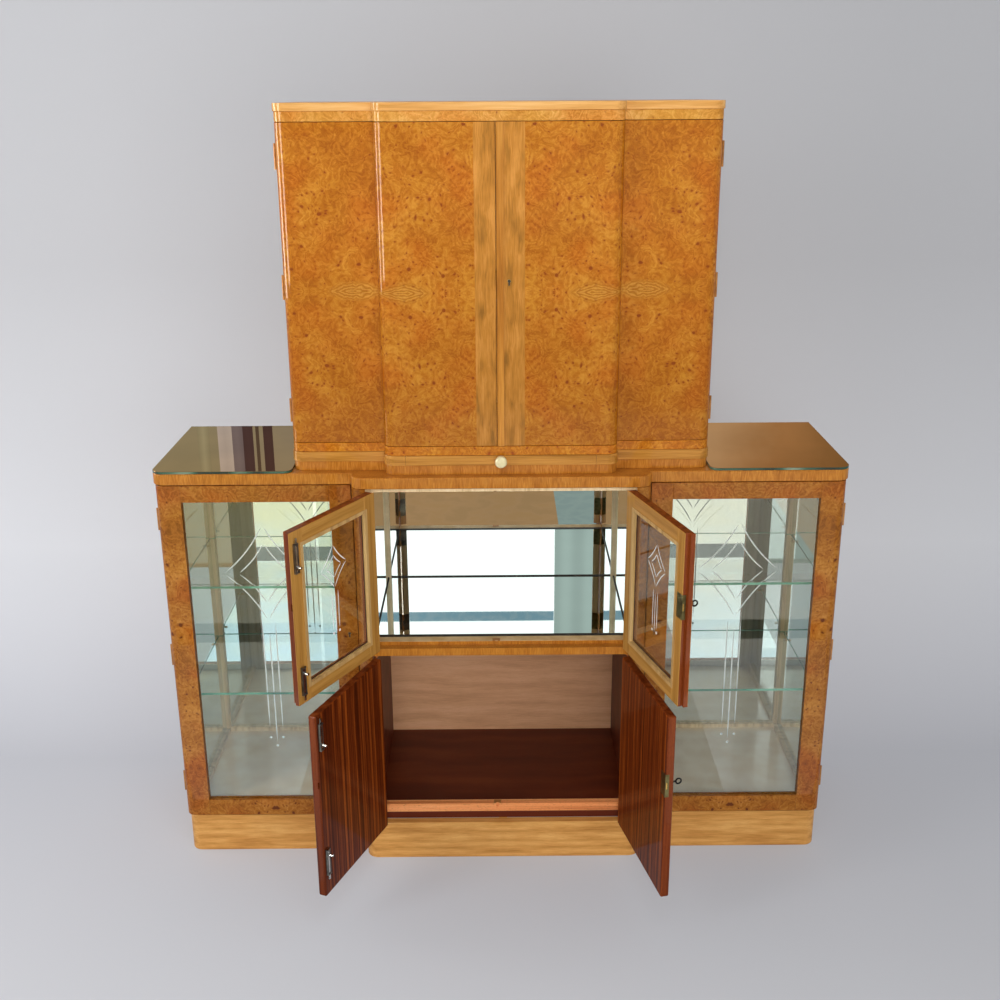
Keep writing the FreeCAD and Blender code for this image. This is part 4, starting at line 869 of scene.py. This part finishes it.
view = {"place": (-0.0095, -2.8197, 1.8139), "down": 18.62, "yaw": -0.149, "roll": -0.365,
        "lens": 43.34, "sensor": 36.0}


def addCamera():
    data = bpy.data.cameras.new("camera")
    data.lens = view["lens"]
    data.sensor_width = view["sensor"]
    camera = bpy.data.objects.new("camera", data)
    bpy.context.scene.collection.objects.link(camera)
    turned = (Matrix.Rotation(math.radians(view["yaw"]), 4, "Z")
              @ Matrix.Rotation(math.radians(90 - view["down"]), 4, "X")
              @ Matrix.Rotation(math.radians(view["roll"]), 4, "Z"))
    camera.matrix_world = Matrix.Translation(view["place"]) @ turned
    bpy.context.scene.camera = camera


addCamera()

# a pale floor and backdrop, soft lamps, and sheets that only mirrors and polish show

# metres, but spread is in millimetres; shown and farSideShade are shares, the latter a painted
# shade
studio = {"surround": "#E4E5E9", "halfWidth": 14.0, "front": -14.0, "cove": 0.26,
          "coveRadius": 0.45, "wallTop": 9.0, "arcSteps": 24, "drop": 0.0005, "shown": 0.34,
          "worldLight": 0.47, "worldShown": 0.75, "spread": 1100.0, "farSideShade": 0.83}
# painted shade: the pale sheets darken by height up the wall and by depth over the floor, in
# millimetres
wallShading = {"axis": 2, "from": 0.0, "to": 3000.0,
             "stops": ((0.0, "#E5E6EA"), (0.16, "#FDFEFF"), (0.45, "#E3E3E3"), (1.0, "#DADADA"))}
floorShading = {"axis": 1, "from": -1600.0, "to": 260.0,
              "stops": ((0.0, "#FAFAFA"), (1.0, "#E5E6EA"))}
lamps = {
    "windowFront": {"place": (-0.135, -5.2, 2.9), "toward": (-0.135, 0.0, 2.0),
                    "size": (1.1, 1.35), "watts": 62.0},
    "windowNear": {"place": (-2.95, -2.2, 2.0), "toward": (-0.4, -0.2, 1.2), "size": (0.9, 1.9),
                   "watts": 33.0},
    "windowSide": {"place": (-3.3, 0.25, 1.95), "toward": (-0.4, -0.1, 1.3), "size": (0.9, 1.9),
                   "watts": 12.0},
    "skyAbove": {"place": (0.3, -1.7, 3.3), "toward": (0.0, -0.2, 1.7), "size": (0.9, 0.9),
                 "watts": 7.0},
    "fill": {"place": (1.3, -4.5, 1.2), "toward": (0.2, 0.0, 0.8), "size": (3.0, 1.5),
             "watts": 48.0},
}
drapes = {"drapeLeft": (-1.35, -0.69, "#8FA3A8"), "drapeRight": (0.42, 1.3, "#C2D0CA")}
drapeForm = {"y": -5.25, "foot": 1.6, "head": 3.7, "folds": 5.0, "depth": 0.02, "columns": 90,
             "turned": 0.8, "shade": (0.88, 1.1)}
# cards, each from a corner along one side and up another; the three colours lie in patches, or in
# a run along the axis that run gives
cards = {
    "paneFront": {"corner": (-1.4, -5.4, 1.9), "side": (2.7, 0, 0), "rise": (0, 0, 1.8),
                  "colours": ("#FFFFFF", "#FFFFFF", "#FFFFFF"), "strength": 2.0},
    "barFront": {"corner": (-0.69, -5.3, 3.12), "side": (1.11, 0, 0), "rise": (0, 0, 0.08),
                 "colours": ("#8FB0C0", "#9FB8C4", "#8FB0C0"), "strength": 1.0},
    "paneNear": {"corner": (-2.64, -2.66, 0.95), "side": (-0.62, 0.8, 0), "rise": (0, 0, 1.6),
                 "colours": ("#FFF6E8", "#FFF6E8", "#FFF6E8"), "strength": 20.0},
    "paneSide": {"corner": (-3.3, -0.3, 0.95), "side": (0.1, 1.2, 0), "rise": (0, 0, 1.6),
                 "colours": ("#FFF6E8", "#FFF6E8", "#FFF6E8"), "strength": 20.0},
}
# cards on the floor: left and front edge, height, width and reach, colours, strength and run
floorCards = {
    "mat": (-0.52, -3.2, 0.02, 0.78, 1.9, ("#AA865E", "#B08A62", "#AE885E"), 1.0, None),
    "runner": (0.26, -3.2, 0.02, 0.34, 1.9, ("#8E9E9A", "#94A49E", "#8E9E9A"), 1.0, None),
    "gardenLeft": (-1.5, -3.4, 0.02, 0.95, 3.0, ("#F2E6A0", "#E2DCB8", "#C8E0F0"), 1.8, 1),
    "gardenRight": (0.6, -3.4, 0.02, 0.9, 3.0, ("#F4E8D4", "#EAE0CC", "#D4DEE6"), 1.7, 1),
    "sillLeft": (-1.5, -1.5, 0.03, 0.95, 0.16, ("#5C6664", "#6A7472", "#5C6664"), 1.0, None),
    "sillRight": (0.6, -1.5, 0.03, 0.9, 0.16, ("#5C6664", "#6A7472", "#5C6664"), 1.0, None),
}
# upright cards behind the counter glass, in a run from left to right: left edge, depth, width,
# colours and strength
wallCards = {
    "roomLeft": (-1.3, 0.64, 0.85, ("#D4CEAE", "#C8C4A4", "#C0B8A8"), 1.0),
    "poleLeft": (-0.89, 0.6, 0.035, ("#C2C0A0", "#DADAB8", "#C2C0A0"), 1.0),
    "poleMiddle": (-0.83, 0.6, 0.042, ("#FAF6F6", "#F0ECEC", "#FAF6F6"), 1.0),
    "poleGrey": (-0.788, 0.6, 0.032, ("#A29AA4", "#A8A0AA", "#9C949E"), 1.0),
    "poleDark": (-0.756, 0.6, 0.03, ("#6C5658", "#705A5C", "#6C5658"), 1.0),
    "poleThin": (-0.718, 0.6, 0.01, ("#7A6A5C", "#7A6A5C", "#7A6A5C"), 1.0),
    "poleRight": (-0.696, 0.6, 0.028, ("#6A5452", "#6E5856", "#6A5452"), 1.0),
    "curtainRight": (0.55, 0.6, 0.058, ("#A09CCC", "#9894C4", "#A09CCC"), 1.1),
    "roomRight": (0.58, 0.64, 0.5, ("#FFDCAE", "#D8A872", "#A88250"), 1.0),
}
for name, (x, y, z, width, reach, colours, strength, run) in floorCards.items():
    cards[name] = {"corner": (x, y, z), "side": (width, 0, 0), "rise": (0, reach, 0),
                   "colours": colours, "strength": strength, "run": run}
for name, (x, y, width, colours, strength) in wallCards.items():
    cards[name] = {"corner": (x, y, 1.0), "side": (width, 0, 0), "rise": (0, 0, 0.6),
                   "colours": colours, "strength": strength, "run": 0}
cardForm = {"patch": 110.0, "octaves": 3.0, "stops": (0.4, 0.5, 0.6), "run": (0.36, 0.56),
            "stir": 0.08, "dazzling": 5.0}


def addStage(name, points, material):
    # a smooth sheet from rows of points, which is no part of the object
    mesh = bpy.data.meshes.new(name)
    faces = gridFaces(*points.shape[:2], False, 0)
    mesh.from_pydata(points.reshape(-1, 3).tolist(), [], faces)
    mesh.polygons.foreach_set("use_smooth", [True] * len(mesh.polygons))
    mesh.materials.append(material)
    sheet = bpy.data.objects.new(name, mesh)
    bpy.context.scene.collection.objects.link(sheet)
    return sheet


def lightPathShows(add):
    # 1 for the rays that see the surroundings: camera, glossy and transmission
    path = add("LightPath", out=None)
    seen = add("Math", {0: path.outputs["Is Camera Ray"], 1: path.outputs["Is Glossy Ray"]},
               operation="MAXIMUM")
    return add("Math", {0: seen, 1: path.outputs["Is Transmission Ray"]}, operation="MAXIMUM")


def paleSurface(name, tones, seenFromBehind):
    # a pale sheet with painted shade, darker to one side and along its own axis; part of what is
    # seen is the plain colour, so that shadows stay soft; the wall has no back
    material, add = newMaterial(name)
    apart = add("SeparateXYZ", {0: objectPlace(add)}, out=None)
    along = add("MapRange", {"Value": apart.outputs[tones["axis"]], "From Min": tones["from"],
                             "From Max": tones["to"]})
    tone = add("ValToRGB", {0: along}, stops=tones["stops"])
    # painted shade, darker towards the right
    aside = add("MapRange", {"Value": apart.outputs[0], "From Min": -studio["spread"],
                             "From Max": studio["spread"], "To Min": 1.0,
                             "To Max": studio["farSideShade"]})
    tone = add("MixRGB", {"Fac": 1.0, "Color1": tone, "Color2": aside}, blend_type="MULTIPLY")
    colour = add("MixRGB", {"Fac": 1.0, "Color1": tone, "Color2": linear(studio["surround"])},
                 blend_type="MULTIPLY")
    lit = add("BsdfDiffuse", {"Color": colour})
    plain = add("Emission", {"Color": colour})
    share = add("Math", {0: lightPathShows(add), 1: studio["shown"]}, operation="MULTIPLY")
    shader = add("MixShader", {0: share, 1: lit, 2: plain})
    if not seenFromBehind:
        behind = add("NewGeometry", out="Backfacing")
        shader = add("MixShader", {0: behind, 1: shader, 2: add("BsdfTransparent")})
    add("OutputMaterial", {"Surface": shader}, out=None)
    return material


def addSurroundings():
    # a flat floor, and a wall whose foot is a quarter circle: cove + radius sin, radius (1 - cos)
    half, cove, radius = studio["halfWidth"], studio["cove"], studio["coveRadius"]
    level = -studio["drop"]
    floor = np.array([[(-half, y, level), (half, y, level)] for y in (studio["front"], cove)])
    addStage("floor", floor, paleSurface("paleFloor", floorShading, True))
    turn = np.linspace(0, math.pi / 2, studio["arcSteps"])
    profile = np.stack([cove + radius * np.sin(turn), level + radius * (1 - np.cos(turn))], -1)
    profile = np.concatenate([profile, [[cove + radius, studio["wallTop"]]]])
    rows = np.stack([np.column_stack([np.full(len(profile), x), profile]) for x in (-half, half)],
                    1)
    wall = addStage("backdrop", rows, paleSurface("paleBackdrop", wallShading, False))
    wall.visible_shadow = wall.visible_diffuse = False


def addReflected(name, rows, add, material, glow):
    # a sheet that only mirrors and polish show; a pane that is looked through shows none of it
    depth = add("LightPath", out="Glossy Depth")
    mirrored = add("Math", {0: depth, 1: 0.5}, operation="GREATER_THAN")
    shader = add("MixShader", {0: mirrored, 1: add("BsdfTransparent"), 2: glow})
    add("OutputMaterial", {"Surface": shader}, out=None)
    sheet = addStage(name, rows, material)
    sheet.visible_camera = sheet.visible_diffuse = sheet.visible_shadow = False
    return sheet


def addDrapes():
    # shallow folds: x runs along and y waves, as y + depth sin(folds tau share)
    for name, (near, far, colour) in drapes.items():
        material, add = newMaterial(name)
        fold = add("SeparateXYZ", {0: add("NewGeometry", out="Normal")}, out=0)
        dim, bright = drapeForm["shade"]
        shade = add("MapRange", {"Value": fold, "From Min": -drapeForm["turned"],
                                 "From Max": drapeForm["turned"], "To Min": dim,
                                 "To Max": bright})
        share = np.linspace(0, 1, drapeForm["columns"])
        wave = drapeForm["y"] + drapeForm["depth"] * np.sin(drapeForm["folds"] * math.tau * share)
        line = np.stack([near + (far - near) * share, wave, 0 * share], -1)
        rows = np.stack([line + (0, 0, z) for z in (drapeForm["foot"], drapeForm["head"])])
        addReflected(name, rows, add, material, add("Emission", {"Color": linear(colour),
                                                                 "Strength": shade}))


def addCards():
    # flat sheets that glow in three colours
    for name, look in cards.items():
        material, add = newMaterial(name)
        corner, side, rise = (np.array(look[key]) for key in ("corner", "side", "rise"))
        place = objectPlace(add)
        figure = add("TexNoise", {"Vector": place, "Scale": 1 / cardForm["patch"],
                                  "Detail": cardForm["octaves"]})
        axis = look.get("run")
        if axis is not None:
            first, last = cardForm["run"]
            along = add("MapRange", {"Value": add("SeparateXYZ", {0: place}, out=axis),
                                     "From Min": corner[axis] / millimetre,
                                     "From Max": (corner + side + rise)[axis] / millimetre,
                                     "To Min": first, "To Max": last})
            figure = add("Math", {0: figure, 1: cardForm["stir"], 2: along},
                         operation="MULTIPLY_ADD")
        colour = add("ValToRGB", {0: figure}, stops=tuple(zip(cardForm["stops"],
                                                              look["colours"])))
        rows = np.array([[corner, corner + side], [corner + rise, corner + side + rise]])
        card = addReflected(name, rows, add, material, add("Emission", {
            "Color": colour, "Strength": look["strength"]}))
        # the dazzling panes at the side shine on polished edges only, in no mirror behind glass
        card.visible_transmission = look["strength"] < cardForm["dazzling"]


def addWorld():
    world = bpy.data.worlds.new("studio")
    world.use_nodes = True
    world.node_tree.nodes.clear()
    add = functools.partial(addNode, world.node_tree)
    light = add("Background", {"Color": linear("#FFFFFF"), "Strength": studio["worldLight"]})
    shown = add("Background", {"Color": linear(studio["surround"]),
                               "Strength": studio["worldShown"]})
    mixed = add("MixShader", {0: lightPathShows(add), 1: light, 2: shown})
    add("OutputWorld", {"Surface": mixed}, out=None)
    bpy.context.scene.world = world


def addLamps():
    for name, look in lamps.items():
        data = bpy.data.lights.new(name, "AREA")
        data.shape = "RECTANGLE"
        data.size, data.size_y = look["size"]
        data.energy = look["watts"]
        lamp = bpy.data.objects.new(name, data)
        bpy.context.scene.collection.objects.link(lamp)
        aim = Vector(look["toward"]) - Vector(look["place"])
        lamp.matrix_world = (Matrix.Translation(look["place"])
                             @ aim.to_track_quat("-Z", "Y").to_matrix().to_4x4())
        lamp.visible_camera = lamp.visible_glossy = lamp.visible_transmission = False


addSurroundings()
addDrapes()
addCards()
addWorld()
addLamps()
bpy.context.scene.view_settings.view_transform = "Standard"
print("studio: camera,", len(lamps), "lamps")
